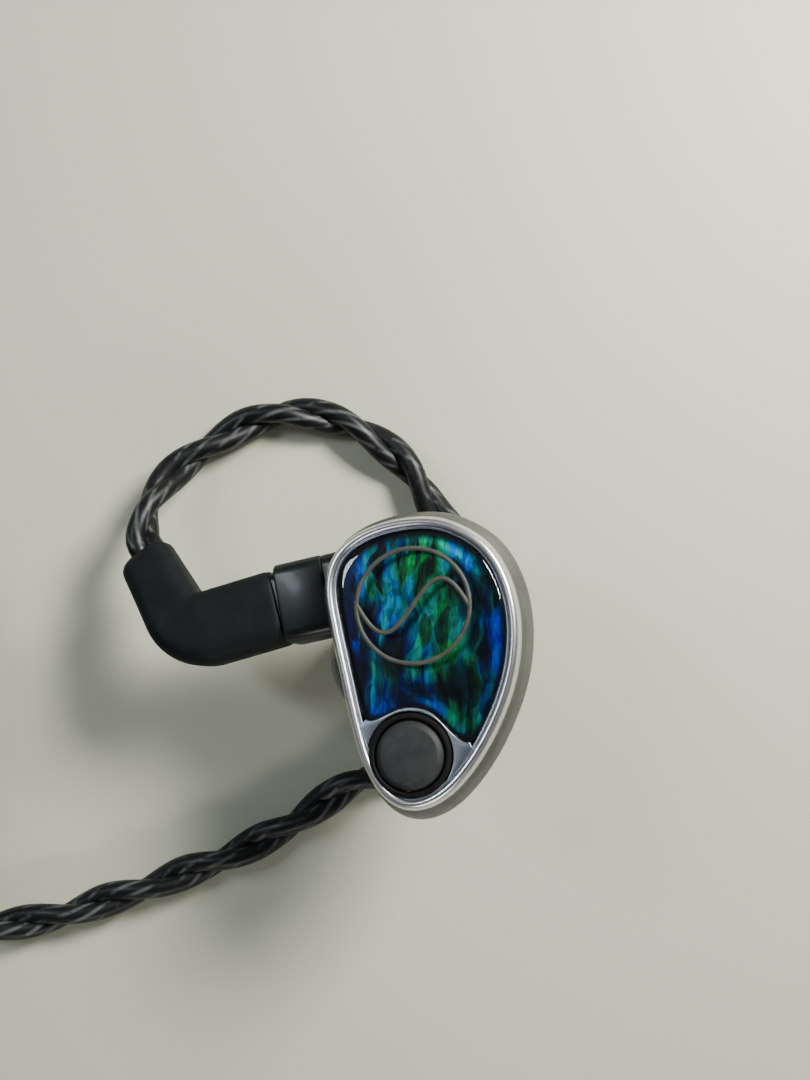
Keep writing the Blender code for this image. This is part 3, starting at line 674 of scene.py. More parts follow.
def build_stage():
    """The table top, the room's light and three lamps."""
    floor = bmesh.new()
    bmesh.ops.create_grid(floor, x_segments=8, y_segments=8, size=900)
    made = Shader("table_top", 0.55, 0.0)
    made.colour(made.noise(0.004, 3, 0.5), (0.47, 0.475, 0.36), (0.51, 0.525, 0.405))
    made.bump(made.noise(2.2, 4, 0.6), 0.08, 0.04)
    ground = piece("table_top", floor, made.material, None)

    world = bpy.data.worlds.new("studio")
    bpy.context.scene.world = world
    world.use_nodes = True
    tree = world.node_tree
    place = add_node(tree, "ShaderNodeTexCoord").outputs["Generated"]
    height = add_node(tree, "ShaderNodeSeparateXYZ", Vector=place).outputs["Z"]
    sky = add_node(tree, "ShaderNodeValToRGB", Fac=height)
    set_stops(sky, ((0.0, (0.24, 0.24, 0.235)), (0.35, 0.40), (0.68, (0.40, 0.41, 0.42)),
                    (0.88, (0.13, 0.14, 0.155)), (1.0, (0.09, 0.10, 0.11))))
    background = tree.nodes["Background"]
    feed(tree, background.inputs["Color"], sky.outputs[0])
    feed(tree, background.inputs["Strength"], 0.42)

    lamps = (
        ("key", (100, 100, 122), (64, 48), 0.78, (1.0, 0.98, 0.94)),
        ("window", (-260, 140, 300), (50, 170), 0.6, (0.85, 0.93, 1.0)),
        ("low_fill", (60, -330, 190), (260, 60), 0.5, (1.0, 0.97, 0.94)),
    )
    for name, at, size, power, colour in lamps:
        light = bpy.data.lights.new(name, "AREA")
        light.shape = "RECTANGLE"
        light.size, light.size_y = size[0] * MM, size[1] * MM
        light.energy, light.color = power, colour
        lamp = bpy.data.objects.new(name, light)
        bpy.context.scene.collection.objects.link(lamp)
        lamp.location = Vector(at) * MM
        lamp.rotation_euler = (-Vector(at)).to_track_quat("-Z", "Y").to_euler()


def build_camera():
    data = bpy.data.cameras.new("camera")
    data.lens, data.sensor_width = 45.2, 36.0
    data.clip_start, data.clip_end = 0.005, 10
    camera = bpy.data.objects.new("camera", data)
    bpy.context.scene.collection.objects.link(camera)
    camera.location = Vector((6.9, 9.8, 121.6)) * MM
    bpy.context.scene.camera = camera


# ---------------------------------------------------------------- cords

def around(angle, radius, z):
    """A place on the coil at an angle in degrees from its middle."""
    a = math.radians(angle)
    return Vector((COIL_AT.x + radius * math.cos(a), COIL_AT.y + radius * math.sin(a), z))


def eased(value, start, end):
    """0 before start and 1 after end, smoothly between. start may be above end."""
    t = min(max((value - start) / (end - start), 0), 1)
    return t * t * (3 - 2 * t)


def wound(start, end, radius, z, step=12):
    """Points clockwise round the coil from one angle to a lower one."""
    count = max(int((start - end) / step), 2)
    angles = [start + (end - start) * i / count for i in range(count + 1)]
    return [around(a, radius(a), z(a)) for a in angles]


def left_line():
    """From the boot, over the table under the monitor, into the coil, and up to the splitter."""
    turns = wound(-90, -700, lambda a: COLUMNS[3] + (LEFT_TOP - COLUMNS[3]) * eased(a, -635, -690),
                  lambda a: LAYERS[0] + LAYER_RISE * eased(a, -385, -450)
                  + LAYER_RISE * eased(a, -560, -610) + (TOP_LEVEL - LAYERS[2]) * eased(a, -612, -660))
    turns += wound(-705, -723, lambda a: LEFT_TOP, lambda a: TOP_LEVEL, 6)
    out = (FACE.to_3x3() @ (Vector(BOOT_PATH[2]) - Vector(BOOT_PATH[1]))).normalized()
    inside = Vector(LEAD_ROUTE[0]) - out * 1.4
    joining = (-45.0, -25.5, 2.0), (-50.5, -25.5, 2.2)
    return [inside, *map(Vector, LEAD_ROUTE), *map(Vector, joining), *turns]


def right_line():
    """From the spare plug's boot round the coil's outside and up to the splitter."""
    turns = wound(178, -650, lambda a: COLUMNS[4],
                  lambda a: LAYERS[0] + LAYER_RISE * eased(a, -8, -48) + LAYER_RISE * eased(a, -375, -430))
    turns += wound(-655, -700, lambda a: COLUMNS[4] + (RIGHT_TOP - COLUMNS[4]) * eased(a, -655, -692),
                   lambda a: LAYERS[2] + (TOP_LEVEL - LAYERS[2]) * eased(a, -650, -678), 6)
    turns += wound(-705, -723, lambda a: RIGHT_TOP, lambda a: TOP_LEVEL, 6)
    inside = Vector(SPARE_BOOT_PATH[0]) - Vector((1.0, 0.1, 0))
    return [inside, *map(Vector, SPARE_ROUTE), *turns]


def trunk_line():
    """From the splitter down into the coil's three inner columns, up its middle, and into the plug."""
    half_turn = math.asin((SPLITTER_LONG / 2 - 0.8) / SPLITTER_RADIUS)
    start = math.degrees(SPLITTER_ANGLE) - math.degrees(half_turn)
    first = -104
    line = wound(start, first + 6, lambda a: 17 + 1.5 * eased(a, -48, -90),
                 lambda a: TOP_LEVEL + (LAYERS[2] - TOP_LEVEL) * eased(a, -46, -100), 7)
    turns = ((2, 2), (2, 1), (2, 0), (1, 0), (1, 1), (1, 2), (0, 2), (0, 1), (0, 0))
    levels = [(COLUMNS[column], LAYERS[layer]) for column, layer in turns]
    for k, (radius, level) in enumerate(levels):
        to_radius, to_level = levels[min(k + 1, len(levels) - 1)]
        top = first - 360 * k
        line += wound(top, top - 350,
                      lambda a: radius + (to_radius - radius) * eased(a, top - 295, top - 358),
                      lambda a: level + (to_level - level) * eased(a, top - 295, top - 358))
    bottom, inner = first - 360 * len(levels), COLUMNS[0]
    line += wound(bottom - 4, bottom - 52,
                  lambda a: inner + (TAIL_RADIUS - inner) * eased(a, bottom, bottom - 54),
                  lambda a: LAYERS[0])
    for i in range(12):
        line.append(around(200 - 260 * i / 13, TAIL_RADIUS, TAIL_LOW + (JACK_FROM.z - TAIL_LOW) * i / 13))
    return line + [JACK_FROM - JACK_WAY * back for back in (1.5, -0.6)]


def rope(name, points, material, body, replaces, **declared):
    """Two twisted strands along a path, each with its own UV for the wires inside."""
    length = length_of(smooth_line(points, 2000))
    count = int(length / 0.45)
    path = smooth_line(points, count)
    mesh = bmesh.new()
    layer = mesh.loops.layers.uv.new("UVMap")
    side = UP.cross(path[1] - path[0])
    frames = []
    for i, p in enumerate(path):
        along = (path[min(i + 1, count - 1)] - path[max(i - 1, 0)]).normalized()
        side = (side - along * side.dot(along)).normalized()
        frames.append((p, side, along.cross(side)))
    step = length / (count - 1)
    for turn in (0, math.pi):
        rows, centres = [], []
        for i, (p, u, v) in enumerate(frames):
            a = turn + math.pi * i * step / HALF_PITCH
            centres.append(p + (u * math.cos(a) + v * math.sin(a)) * STRAND_REACH)
        for i, centre in enumerate(centres):
            way = (centres[min(i + 1, count - 1)] - centres[max(i - 1, 0)]).normalized()
            u = frames[i][1]
            u = (u - way * u.dot(way)).normalized()
            v = way.cross(u)
            thick = STRAND_RADIUS * (0.8 if i in (0, count - 1) else 1)
            rows.append([mesh.verts.new(centre + (u * math.cos(t) + v * math.sin(t)) * thick)
                         for t in (math.tau * k / STRAND_SIDES for k in range(STRAND_SIDES))])
        for i, (low, high) in enumerate(zip(rows, rows[1:])):
            for k in range(STRAND_SIDES):
                j = (k + 1) % STRAND_SIDES
                face = mesh.faces.new((low[k], low[j], high[j], high[k]))
                spots = ((i, k), (i, k + 1), (i + 1, k + 1), (i + 1, k))
                for loop, (along_at, round_at) in zip(face.loops, spots):
                    loop[layer].uv = (along_at * step, round_at / STRAND_SIDES)
        mesh.faces.new(rows[0])
        mesh.faces.new(rows[-1])
    made = piece(name, mesh, material, body, TABLE, replaces, angle=60)


def build_splitter(dark, black):
    """The block where the two leads meet, with a band near each end."""
    way = Vector((math.sin(SPLITTER_ANGLE), -math.cos(SPLITTER_ANGLE), 0))
    middle = around(math.degrees(SPLITTER_ANGLE), SPLITTER_RADIUS, 9.9 + SPLITTER_TALL / 2)
    place = TABLE @ Matrix.Translation(middle) @ Matrix((UP.cross(way), UP, way)).transposed().to_4x4()
    half = SPLITTER_LONG / 2
    body = block(SPLITTER_WIDE, SPLITTER_TALL, -half, half, 1.5, 0.5, 5)
    made = [piece("splitter_body", body, dark, "cable", place, ("splitter",))]
    for name, low in (("splitter_band", half - 2.0), ("splitter_band_low", -half + 1.5)):
        band = block(SPLITTER_WIDE + 0.12, SPLITTER_TALL + 0.12, low, low + 0.5, 1.5, 0.1, 2)
        made.append(piece(name, band, black, "cable", place, ()))
    return made


def build_jack(dark, black, boot, brass):
    """The three-contact plug at the trunk's end, with its ribbed relief."""
    place = TABLE @ frame_on(JACK_FROM, JACK_WAY)
    relief = [(1.45, 0.0), (1.75, 0.12)]
    for k in range(6):
        z = 0.5 + k * 0.85
        r = 1.8 + 0.7 * (z / 5.6)
        relief += [(r, z), (r, z + 0.45), (r - 0.28, z + 0.52), (r - 0.28, z + 0.78)]
    relief += [(2.5, 5.62), (2.3, 5.75)]
    barrel = [(2.1, 5.8), (2.5, 5.86), (2.8, 6.3), (2.8, 7.0), (2.65, 7.05), (2.65, 7.3), (2.8, 7.35),
              (2.8, 16.6), (2.66, 16.66), (2.66, 16.9), (2.8, 16.96), (2.8, 18.9), (2.6, 19.4), (2.2, 19.6)]
    gaps = [(1.62, 19.5), (1.62, 29.6)]
    sleeve = [(1.6, 19.7), (1.75, 19.8), (1.75, 26.5), (1.7, 26.6)]
    ring = [(1.7, 27.0), (1.75, 27.08), (1.75, 28.8), (1.7, 28.9)]
    tip = [(1.7, 29.3), (1.75, 29.4), (1.75, 30.0), (1.6, 30.3), (1.32, 30.65), (1.38, 31.0), (1.66, 31.5),
           (1.7, 31.9), (1.5, 32.6), (1.1, 33.2), (0.6, 33.5), (0.2, 33.6)]
    parts = (
        ("jack_boot", relief, boot, ("jack_relief",), "boot_rubber"),
        ("jack_body", barrel, dark, ("jack_barrel",), "dark_metal"),
        ("jack_core", gaps, black, (), "plug_polymer"),
        ("jack_ground", sleeve, brass, ("jack_sleeve",), "gold_contact"),
        ("jack_middle", ring, brass, ("jack_ring",), "gold_contact"),
        ("jack_point", tip, brass, ("jack_tip",), "gold_contact"),
    )
    return [piece(name, turned(profile, 48), material, "cable", place, nodes, 30)
            for name, profile, material, nodes, slot in parts]


def build_tie(material):
    """A flat strap round the bundle, with its end lapped over."""
    angle = math.degrees(TIE_ANGLE)
    centre = around(angle, (COIL_INNER + COIL_OUTER) / 2, (COIL_LOW + COIL_TOP) / 2)
    out = (around(angle, 1, 0) - around(angle, 0, 0)).normalized()
    place = TABLE @ Matrix.Translation(centre) @ Matrix((out, UP, out.cross(UP))).transposed().to_4x4()
    wide, tall = COIL_OUTER - COIL_INNER + 1.8, COIL_TOP - COIL_LOW + 0.6
    half, thick = TIE_WIDE / 2, 2 * TIE_THICK
    rings = []
    for t, z in ((0.08, -half), (thick - 0.1, -half), (thick, -half + 0.12), (thick, half - 0.12),
                 (thick - 0.1, half), (0.08, half), (0, half - 0.12), (0, -half + 0.12)):
        rings.append([Vector((x, y, z)) for x, y in block_ring(wide + t, tall + t, 1.4, 6)])
    band = lofted(rings, closed=True)
    loop = piece("tie_loop", band, material, "cable", place, ("coil_tie",))
    lap = block(9.0, TIE_WIDE - 1.0, 0, 0.42, 1.2, 0.12, 3)
    spot = place @ Matrix.Translation((1.0, tall / 2 + 0.36, 0)) @ Matrix.Rotation(-math.pi / 2, 4, "X")
    flap = piece("tie_lap", lap, material, "cable", spot, ())
    return [loop, flap]


def build_cords(dark, black, boot, brass, spare):
    """The three cords, each with the pieces that hang on it."""
    cover = jacket()
    splitter = build_splitter(dark, black)
    jack = build_jack(dark, black, boot, brass)
    tie = build_tie(strap())
    rope("cord_left", left_line(), cover, "cable", ("lead_left", "lead_left_end"),
         far_end="fitting", lay="loose", with_pieces=splitter)
    rope("cord_right", right_line()[::-1], cover, "cable", ("lead_right", "lead_right_end"),
         far_end="connector", lay="coiled", with_pieces=spare)
    rope("cord_trunk", trunk_line(), cover, "cable", ("trunk_start", "trunk_tail", "cable_coil"),
         far_end="plug", lay="coiled", with_pieces=jack + tie)


# ---------------------------------------------------------------- plug and boot

def build_plug(names, nodes, place_frame, root, way, up, path, materials):
    """A two-pin plug: a housing with rounded ends, its neck, a moulded elbow boot and two pins."""
    polymer, boot_rubber, brass = materials
    place = place_frame @ plug_frame(root, way, up, 0)
    body = block(HOUSING_TALL, HOUSING_THICK, -HOUSING_LONG - 0.28, -0.08, 1.0, 0.3, 3)
    housing = piece(names[0], body, polymer, "cable", place, (nodes[0],), 25)
    collar = block(HOUSING_TALL - 1.0, HOUSING_THICK - 1.0, -0.5, 0.4, 0.8, 0.1, 2)
    neck = piece(names[0] + "_neck", collar, polymer, "cable", place, ())
    pins = []
    pin = [(PIN_RADIUS, 0.5), (PIN_RADIUS, -PIN_LONG + 3.2), (PIN_RADIUS * 0.92, -PIN_LONG + 2.95),
           (PIN_RADIUS * 0.7, -PIN_LONG + 2.78), (PIN_RADIUS * 0.3, -PIN_LONG + 2.7)]
    for name, node, side in ((names[2], nodes[2], -1), (names[3], nodes[3], 1)):
        spot = place @ Matrix.Translation((side * PIN_APART / 2, 0, -HOUSING_LONG))
        pins.append(piece(name, turned(pin, 24), brass, "cable", spot, (node,), 30))
    boot = build_boot(names[1], nodes[1], place_frame, path, up, boot_rubber)
    return [housing, boot, neck, *pins]


def build_boot(name, node, place, path, up, material):
    """A moulded elbow in one skin, whose section swings about the sharp inside corner."""
    start, corner, end = path
    one, two = (corner - start).normalized(), (end - corner).normalized()
    flat_two = (two - up * two.dot(up)).normalized()
    in_one = (flat_two - one * flat_two.dot(one)).normalized()
    in_two = (-one - flat_two * -one.dot(flat_two)).normalized()
    wide_one, wide_two = BOOT_TALL / 2, BOOT_SHORT / 2
    turn = in_one.angle(in_two)
    step = (wide_two - wide_one * math.cos(turn)) / math.sin(turn)
    pivot = corner + in_one * wide_one - one * step
    first, second = pivot - in_one * wide_one, pivot - in_two * wide_two
    rings = []

    def ring(centre, across, wide):
        shape = block_ring(wide, wide * BOOT_FLAT, min(1.5, wide * 0.3), 6)
        rings.append([centre + across * a + up * b for a, b in shape])

    steps, end_from, end_loss = 12, 0.84, 2.2
    for i in range(steps + 1):
        share = i / steps
        ring(start.lerp(first, share), in_one, 2 * wide_one - 0.3 * max(0, 1 - share * steps))
    for i in range(1, steps):
        share = i / steps
        across = in_one.slerp(in_two, share)
        half = wide_one + (wide_two - wide_one) * share
        ring(pivot - across * half, across, 2 * half)
    for i in range(2 * steps + 1):
        share = i / (2 * steps)
        into_end = max(0, (share - end_from) / (1 - end_from))
        wide = BOOT_SHORT + (BOOT_END - BOOT_SHORT) * share
        wide -= end_loss * (1 - math.sqrt(1 - into_end ** 2 * 0.92))
        ring(second.lerp(end, share), in_two, wide)
    made = piece(name, lofted(rings), material, "cable", place, (node,), 180)
    skin = made.modifiers.new("skin", "REMESH")
    skin.mode, skin.voxel_size, skin.use_smooth_shade = "VOXEL", 0.12 * MM, True
    even = made.modifiers.new("even", "SMOOTH")
    even.factor, even.iterations = 0.5, 10
    keep_modifiers(made)
    dress(made, material)
    return made


# ---------------------------------------------------------------- the monitor

OUTLINE = eased_loop(smooth_loop(FACE_OUTLINE, 216), 30)
if sum(a.x * b.y - b.x * a.y for a, b in zip(OUTLINE, OUTLINE[1:] + OUTLINE[:1])) < 0:
    OUTLINE = OUTLINE[::-1]
ANGLES = [math.tau * i / 288 for i in range(288)]


def inlay_edge(margin):
    """The face inside the bezel, less a round bay for the vent module, with its corners eased."""
    inner, clear = inset(OUTLINE, margin), MODULE_CLEAR + margin - BEZEL_WIDE
    bay, found = MODULE_AT - INLAY_CENTRE, []
    for a in ANGLES:
        way = Vector((math.cos(a), math.sin(a)))
        reach = ray_to(inner, INLAY_CENTRE, way)
        near = bay.dot(way)
        off = bay.length_squared - near ** 2
        if near > 0 and off < clear ** 2:
            reach = min(reach, near - math.sqrt(clear ** 2 - off))
        found.append(INLAY_CENTRE + way * reach)
    return eased_loop(found, 40)


def domed(edge, low, high, dome, roll=0.12):
    """A slab whose top swells from its edge to its middle. UV x is how far out a point is, from 0 to 1."""
    shares = (1.0, 1.0, 0.995, 0.985, 0.965, 0.94, 0.91, 0.88, 0.8, 0.7, 0.58, 0.45, 0.32, 0.2, 0.1, 0.04)
    rings = [[Vector((*p, low)) for p in edge]]
    for share in shares[1:]:
        drop = roll * max(0, (share - 0.955) / 0.045) ** 2
        z = high + dome * (1 - share ** 2) - drop
        rings.append([Vector((*INLAY_CENTRE.lerp(p, share), z)) for p in edge])
    body = lofted(rings)
    layer = body.loops.layers.uv.new("UVMap")
    body.verts.index_update()
    for face in body.faces:
        for loop in face.loops:
            loop[layer].uv = (shares[loop.vert.index // len(edge)], 0)
    return body


def shell_rings(wall, per):
    """Rings down the body and out to its neck, wall inside its skin, with per rings between two keys."""
    centre = sum(OUTLINE, Vector((0, 0))) / len(OUTLINE)
    keys = [Vector(k) for k in ((-1.54, 0.995, 0.0), *SHELL_RINGS, (-9.1, 0.6, 1.0))]
    ends = [2 * keys[0] - keys[1], *keys, 2 * keys[-1] - keys[-2]]
    rings = []
    for a, b, c, d in zip(ends, ends[1:], ends[2:-1], ends[3:]):
        for s in range(per):
            depth, scale, blend = catmull(a, b, c, d, s / per)
            rings.append(shell_ring(centre, depth, scale, min(max(blend, 0), 1), wall))
    for along in (0.0, NECK_LONG * 0.5, NECK_LONG * 0.9, NECK_LONG):
        trim = 0.12 if along == NECK_LONG else 0
        middle, reach = NOZZLE_AT + NOZZLE_WAY * along, NECK_RADIUS - wall - trim
        rings.append([middle + neck_side((p - centre).normalized()) * reach for p in OUTLINE])
    return rings


def shell_ring(centre, depth, scale, blend, wall):
    """The outline scaled at a depth, blended towards the neck's mouth."""
    ring = []
    for flat in inset(OUTLINE, wall) if wall else OUTLINE:
        out = centre + (flat - centre) * scale
        mouth = NOZZLE_AT + neck_side((flat - centre).normalized()) * (NECK_RADIUS - wall)
        level = depth + (0.35 * wall if depth < -6 else 0)
        ring.append(Vector((*out, level)).lerp(mouth, blend))
    return ring


def neck_side(side):
    """A direction on the face turned square to the nozzle."""
    flat = Vector((*side, 0))
    return (flat - NOZZLE_WAY * flat.dot(NOZZLE_WAY)).normalized()


def build_shell(satin):
    """The hollow body, with the plug's seat and the socket's hole cut in its side."""
    skin = lofted(shell_rings(0.0, 6) + shell_rings(SHELL_WALL, 3)[::-1], closed=True)
    shell = piece("body_shell", skin, satin, "monitor", FACE, ("shell",), 30)
    place, back = FACE @ plug_frame(PLUG_AT, PLUG_WAY, UP, 0), -HOUSING_LONG
    cut(shell, block(HOUSING_TALL + 0.24, HOUSING_THICK + 0.24, back - 0.3, 2.0, 1.1, 0.02, 1), place)
    cut(shell, block(SOCKET_TALL + 0.1, SOCKET_THICK + 0.1, back - 6, back + 1, 0.8, 0.02, 1), place)
    shade(shell, 30)
    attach(shell, "monitor")


def build_bezel(polished, land):
    """A rounded polished bead, its seat below, and a fine groove where it meets the body."""
    bead = ((0.22, -1.5), (0.05, -1.47), (0.0, -1.40), (0.0, -1.05), (0.02, -0.80), (0.06, -0.58),
            (0.13, -0.36), (0.23, -0.18), (0.35, -0.06), (0.49, 0.0), (0.62, -0.02), (0.72, -0.08),
            (0.80, -0.18), (0.83, -0.30), (0.83, -1.3), (0.7, -1.45), (0.4, -1.5))
    lip = ((0.81, -0.38), (0.85, -0.27), (0.90, -0.25), (0.98, -0.27), (1.03, -0.31), (1.06, -0.40),
           (1.06, -1.3), (0.81, -1.3))
    for name, section, metal, nodes in (
        ("bezel", bead, polished, ("faceplate",)), ("bezel_lip", lip, land, ()),
    ):
        rings = [[Vector((*p, z)) for p in inset(OUTLINE, by)] for by, z in section]
        piece(name, lofted(rings, closed=True), metal, "monitor", FACE, nodes, 60)


def build_land(metal, edge):
    """The flat between the inlay and the bezel, with the vent module's bore through it."""
    inner = inset(OUTLINE, BEZEL_WIDE - 0.16)
    pairs = []
    for p in edge:
        way = (p - INLAY_CENTRE).normalized()
        reach = ray_to(inner, INLAY_CENTRE, way)
        if way.y < 0 and reach - (p - INLAY_CENTRE).length > 0.45:
            pairs.append((p, INLAY_CENTRE + way * reach))
    loop = [a for a, _ in pairs] + [b for _, b in pairs[::-1]]
    circle = [MODULE_AT + Vector((math.cos(a), math.sin(a))) * 3.28 for a in ANGLES[::3]]
    half_thick, bevel, level = 0.42, 0.09, -0.70
    curve = bpy.data.curves.new("land", "CURVE")
    curve.dimensions, curve.fill_mode = "2D", "BOTH"
    curve.extrude, curve.bevel_depth, curve.bevel_resolution = half_thick * MM, bevel * MM, 4
    curve.offset = -bevel * MM
    for points in (loop, circle):
        spline = curve.splines.new("POLY")
        spline.points.add(len(points) - 1)
        spline.use_cyclic_u = True
        for point, at in zip(spline.points, points):
            point.co = (*(at * MM), 0, 1)
    holder = bpy.data.objects.new("land_curve", curve)
    bpy.context.scene.collection.objects.link(holder)
    body = bmesh.new()
    body.from_mesh(mesh_now(holder))
    bpy.data.objects.remove(holder)
    bmesh.ops.remove_doubles(body, verts=body.verts, dist=1e-6)
    lower = Matrix.Translation((0, 0, level)) @ Matrix.Scale(1 / MM, 4)
    bmesh.ops.transform(body, matrix=lower, verts=body.verts)
    piece("face_land", body, metal, "monitor", FACE, (), 50)


def build_inlay(edge):
    """The abalone sheet, and the domed resin over it."""
    slab = domed(edge, -1.3, -1.0, 0.0, 0.0)
    piece("abalone_sheet", slab, abalone(), "monitor", FACE, ("face_inlay",), 60)
    lens = domed(edge, -0.96, -0.26, 0.14, 0.14)
    piece("resin_fill", lens, resin(), "monitor", FACE, ("face_lens",), 60)


def build_emblem(metal):
    """A wire ring with one plain sine wave across it, set in the top of the resin."""
    middle = EMBLEM_RADIUS - WIRE / 2
    section = [(math.cos(t) * WIRE / 2, math.sin(t) * 0.14) for t in (math.tau * k / 12 for k in range(12))]
    rings = []
    for a in ANGLES[::2]:
        out = Vector((math.cos(a), math.sin(a), 0))
        rings.append([Vector((*EMBLEM_AT, 0)) + out * (middle + x) + UP * z for x, z in section])
    piece("emblem_ring", lofted(rings, closed=True), metal, "monitor", FACE, ("emblem",), 60)
    line, half_steps, height = [], 48, 2.1
    for i in range(2 * half_steps + 1):
        x = middle * (i / half_steps - 1)
        lift = height * math.sin(math.pi * x / middle)
        line.append(Vector((EMBLEM_AT.x + x, EMBLEM_AT.y + lift, 0)))
    piece("emblem_wave", lofted(swept(line, section)), metal, "monitor", FACE, (), 60)


def build_module(dark, black, brass):
    """The vent module's cap, seal and barrel, and the sleeve it screws into."""
    place = FACE @ Matrix.Translation((*MODULE_AT, 0))
    cap = [(0.02, 0.25), (1.2, 0.25), (2.12, 0.24), (2.2, 0.225), (2.5, 0.02), (2.57, -0.06), (2.6, -0.16),
           (2.6, -0.75), (2.4, -0.8)]
    seal = [(2.72, -0.22), (2.76, -0.06), (2.84, 0.0), (3.0, 0.015), (3.1, -0.02), (3.17, -0.1), (3.2, -0.2),
            (3.2, -1.35), (2.74, -1.35)]
    barrel = [(0.7, -0.85), (2.2, -0.85), (2.3, -1.0), (2.3, -2.2), (2.12, -2.28), (2.12, -2.72), (2.3, -2.8),
              (2.3, -4.0), (2.12, -4.08), (2.12, -4.4), (2.3, -4.48), (2.3, -5.1), (2.2, -5.2), (0.85, -5.2),
              (0.7, -5.05)]
    sleeve = [(2.95, -1.9), (2.95, -5.2), (2.55, -5.2), (2.55, -1.9)]
    for name, profile, hollow, material, nodes, slot, body in (
        ("vent_cap", cap, False, dark, ("module_cap",), "vent_metal", "vent_module"),
        ("vent_seal", seal, True, black, ("module_seal",), "seal_rubber", "vent_module"),
        ("vent_barrel", barrel, True, dark, ("module_barrel",), "vent_metal", "vent_module"),
        ("vent_sleeve", sleeve, True, brass, ("module_sleeve",), "sleeve_brass", "monitor"),
    ):
        piece(name, turned(profile, 96, hollow), material, body, place, nodes, 25)


def build_nozzle(metal, screen, soft):
    """The nozzle with its screen, and the ear tip on it."""
    place = FACE @ frame_on(NOZZLE_AT, NOZZLE_WAY)
    r, bore, end = NOZZLE_RADIUS, NOZZLE_BORE, NOZZLE_LONG
    start, flange = NECK_LONG + 0.05, NECK_RADIUS - 0.12
    tube = [(r, -1.2), (r, start - 0.1), (flange - 0.1, start), (flange, start + 0.1), (flange, start + 0.6),
            (flange - 0.15, start + 0.75), (r + 0.1, start + 0.85), (r, start + 1.0), (r, end - 1.3),
            (r + 0.22, end - 1.0), (r + 0.28, end - 0.8), (r + 0.24, end - 0.3), (r + 0.1, end),
            (bore + 0.5, end), (bore + 0.45, end - 0.08), (bore + 0.45, end - 0.9), (bore, end - 0.9),
            (bore, -1.2)]
    piece("nozzle_tube", turned(tube, 72, True), metal, "monitor", place, ("nozzle",), 30)
    mesh = [(0.02, end - 0.3), (bore + 0.3, end - 0.25), (bore + 0.4, end - 0.32), (bore + 0.4, end - 0.6)]
    piece("nozzle_mesh", turned(mesh, 48), screen, "monitor", place, ("nozzle_screen",))
    core, e = r + 0.45, TIP_END
    keys = ((core, TIP_START + 0.1), (core, e - 4.5), (core - 0.03, e - 2.9), (core - 0.5, e - 2.3),
            (bore + 0.25, e - 1.9), (bore + 0.15, e - 0.9), (bore + 0.2, e - 0.3), (bore + 0.5, e - 0.04),
            (2.7, e - 0.06), (3.4, e - 0.42), (4.2, e - 1.15), (4.95, e - 2.3), (5.5, e - 3.7),
            (5.82, e - 5.2), (5.95, e - 6.5), (5.9, e - 7.1), (5.75, e - 7.3), (5.6, e - 7.1),
            (5.45, e - 6.0), (5.0, e - 4.3),
            (4.4, e - 3.3), (core + 0.95, e - 3.05), (core + 0.72, e - 3.6), (core + 0.7, TIP_START + 0.2),
            (core + 0.35, TIP_START))
    profile = [(max(p.x, 0.1), p.y) for p in smooth_loop([Vector(k) for k in keys], 110)]
    dome = turned(profile, 96, True)
    piece("tip_dome", dome, soft, "ear_tip_body", place, ("ear_tip",), 60)


def build_socket(polymer, brass):
    """The collar the plug meets, the socket behind it, and its two contacts."""
    place = FACE @ plug_frame(PLUG_AT, PLUG_WAY, UP, -HOUSING_LONG - 0.3)
    collar = block(HOUSING_TALL - 0.06, HOUSING_THICK - 0.06, -3.0, -0.02, 1.0, 0.04, 2)
    rim = piece("socket_rim", collar, polymer, "monitor", place, (), 30)
    cut(rim, block(SOCKET_TALL + 0.1, SOCKET_THICK + 0.1, -5.0, 1.0, 0.8, 0.02, 1), place)
    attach(rim, "monitor")
    body = block(SOCKET_TALL, SOCKET_THICK, -SOCKET_LONG, 0.0, 0.8, 0.12, 2)
    socket = piece("socket_body", body, polymer, "monitor", place, ("pin_socket",))
    end = -SOCKET_LONG - 0.8
    ring = [(0.72, -0.3), (0.72, end), (0.52, end), (0.52, -0.5), (0.6, -0.3)]
    for name, node, side in (("socket_contact_a", "contact_a", -1), ("socket_contact_b", "contact_b", 1)):
        spot = place @ Matrix.Translation((side * PIN_APART / 2, 0, 0))
        cut(socket, turned([(0.74, 1), (0.74, -SOCKET_LONG - 1)], 32), spot)
        piece(name, turned(ring, 32, True), brass, "monitor", spot, (node,))
    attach(socket, "monitor")


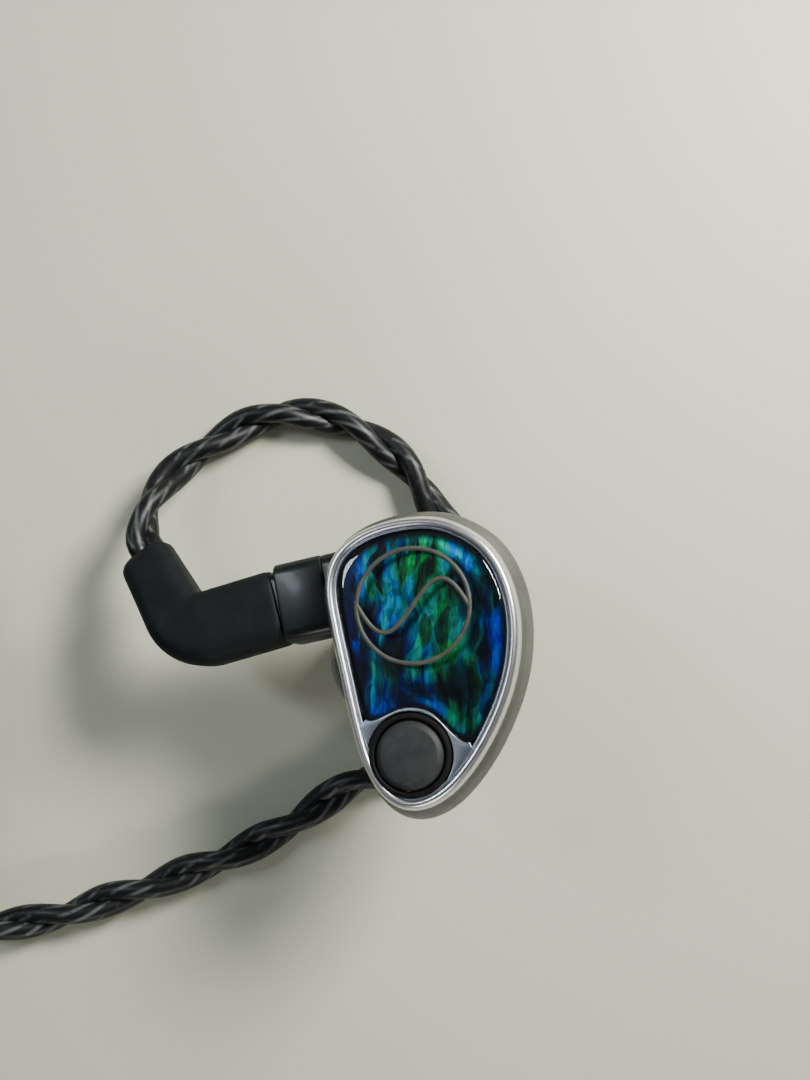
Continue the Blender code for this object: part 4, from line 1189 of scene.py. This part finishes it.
def dress_inner(metal, board, film, clear):
    """Procedural finishes for the CAD pieces sealed inside the body."""
    for material, names in (
        (metal, ("woofer_frame", "tweeter", "mid_driver", "low_driver")), (board, ("crossover_board",)),
        (film, ("woofer_cone",)), (clear, ("sound_tube",)),
    ):
        for name in names:
            dress(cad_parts[name], material)


def main():
    build_stage()
    build_camera()
    dark = anodised("dark_anodised", (0.035, 0.035, 0.037), (0.06, 0.06, 0.062))
    vent = anodised("vent_anodised", (0.013, 0.016, 0.0158), (0.021, 0.0245, 0.024), (0.48, 0.6), 0.0,
                    Specular_IOR_Level=0.25)
    polymer = gloss_polymer("plug_polymer", (0.002, 0.004, 0.0035), (0.005, 0.010, 0.008))
    boot = rubber("boot_rubber", (0.0045, 0.0062, 0.0072), (0.0075, 0.0098, 0.0112))
    brass = gold()
    table_plug = [Vector(p) for p in SPARE_BOOT_PATH][::-1]
    looks = (polymer, boot, brass)
    spare = build_plug(("spare_body", "spare_elbow", "spare_prong_a", "spare_prong_b"),
                       ("spare_housing", "spare_boot", "spare_pin_a", "spare_pin_b"), TABLE,
                       table_plug[0] + Vector((0, 0.1, 0)), Vector((0, -1, 0)), UP, table_plug, looks)
    build_cords(dark, polymer, boot, brass, spare)
    build_plug(("plug_body", "plug_elbow", "plug_prong_a", "plug_prong_b"),
               ("plug_housing", "plug_boot", "pin_a", "pin_b"), FACE, PLUG_AT, PLUG_WAY, UP,
               [Vector(p) for p in BOOT_PATH], looks)

    build_shell(satin_metal())
    land = land_metal()
    build_bezel(polished_metal(), land)
    edge = inlay_edge(BEZEL_WIDE)
    build_land(land, edge)
    build_inlay(edge)
    build_emblem(wire_metal())
    seal = rubber("seal_rubber", (0.002, 0.002, 0.0022), (0.005, 0.005, 0.0055), 22)
    build_module(vent, seal, steel("sleeve_brass", (0.55, 0.42, 0.2), (0.72, 0.56, 0.28)))
    build_nozzle(steel("nozzle_steel"), perforated(), silicone())
    build_socket(polymer, brass)
    dress_inner(steel("driver_steel"), gloss_polymer("board_green", (0.01, 0.09, 0.03), (0.02, 0.16, 0.06)),
                rubber("cone_film", (0.05, 0.05, 0.05), (0.1, 0.1, 0.1)),
                gloss_polymer("tube_clear", (0.55, 0.6, 0.6), (0.7, 0.75, 0.75)))


main()
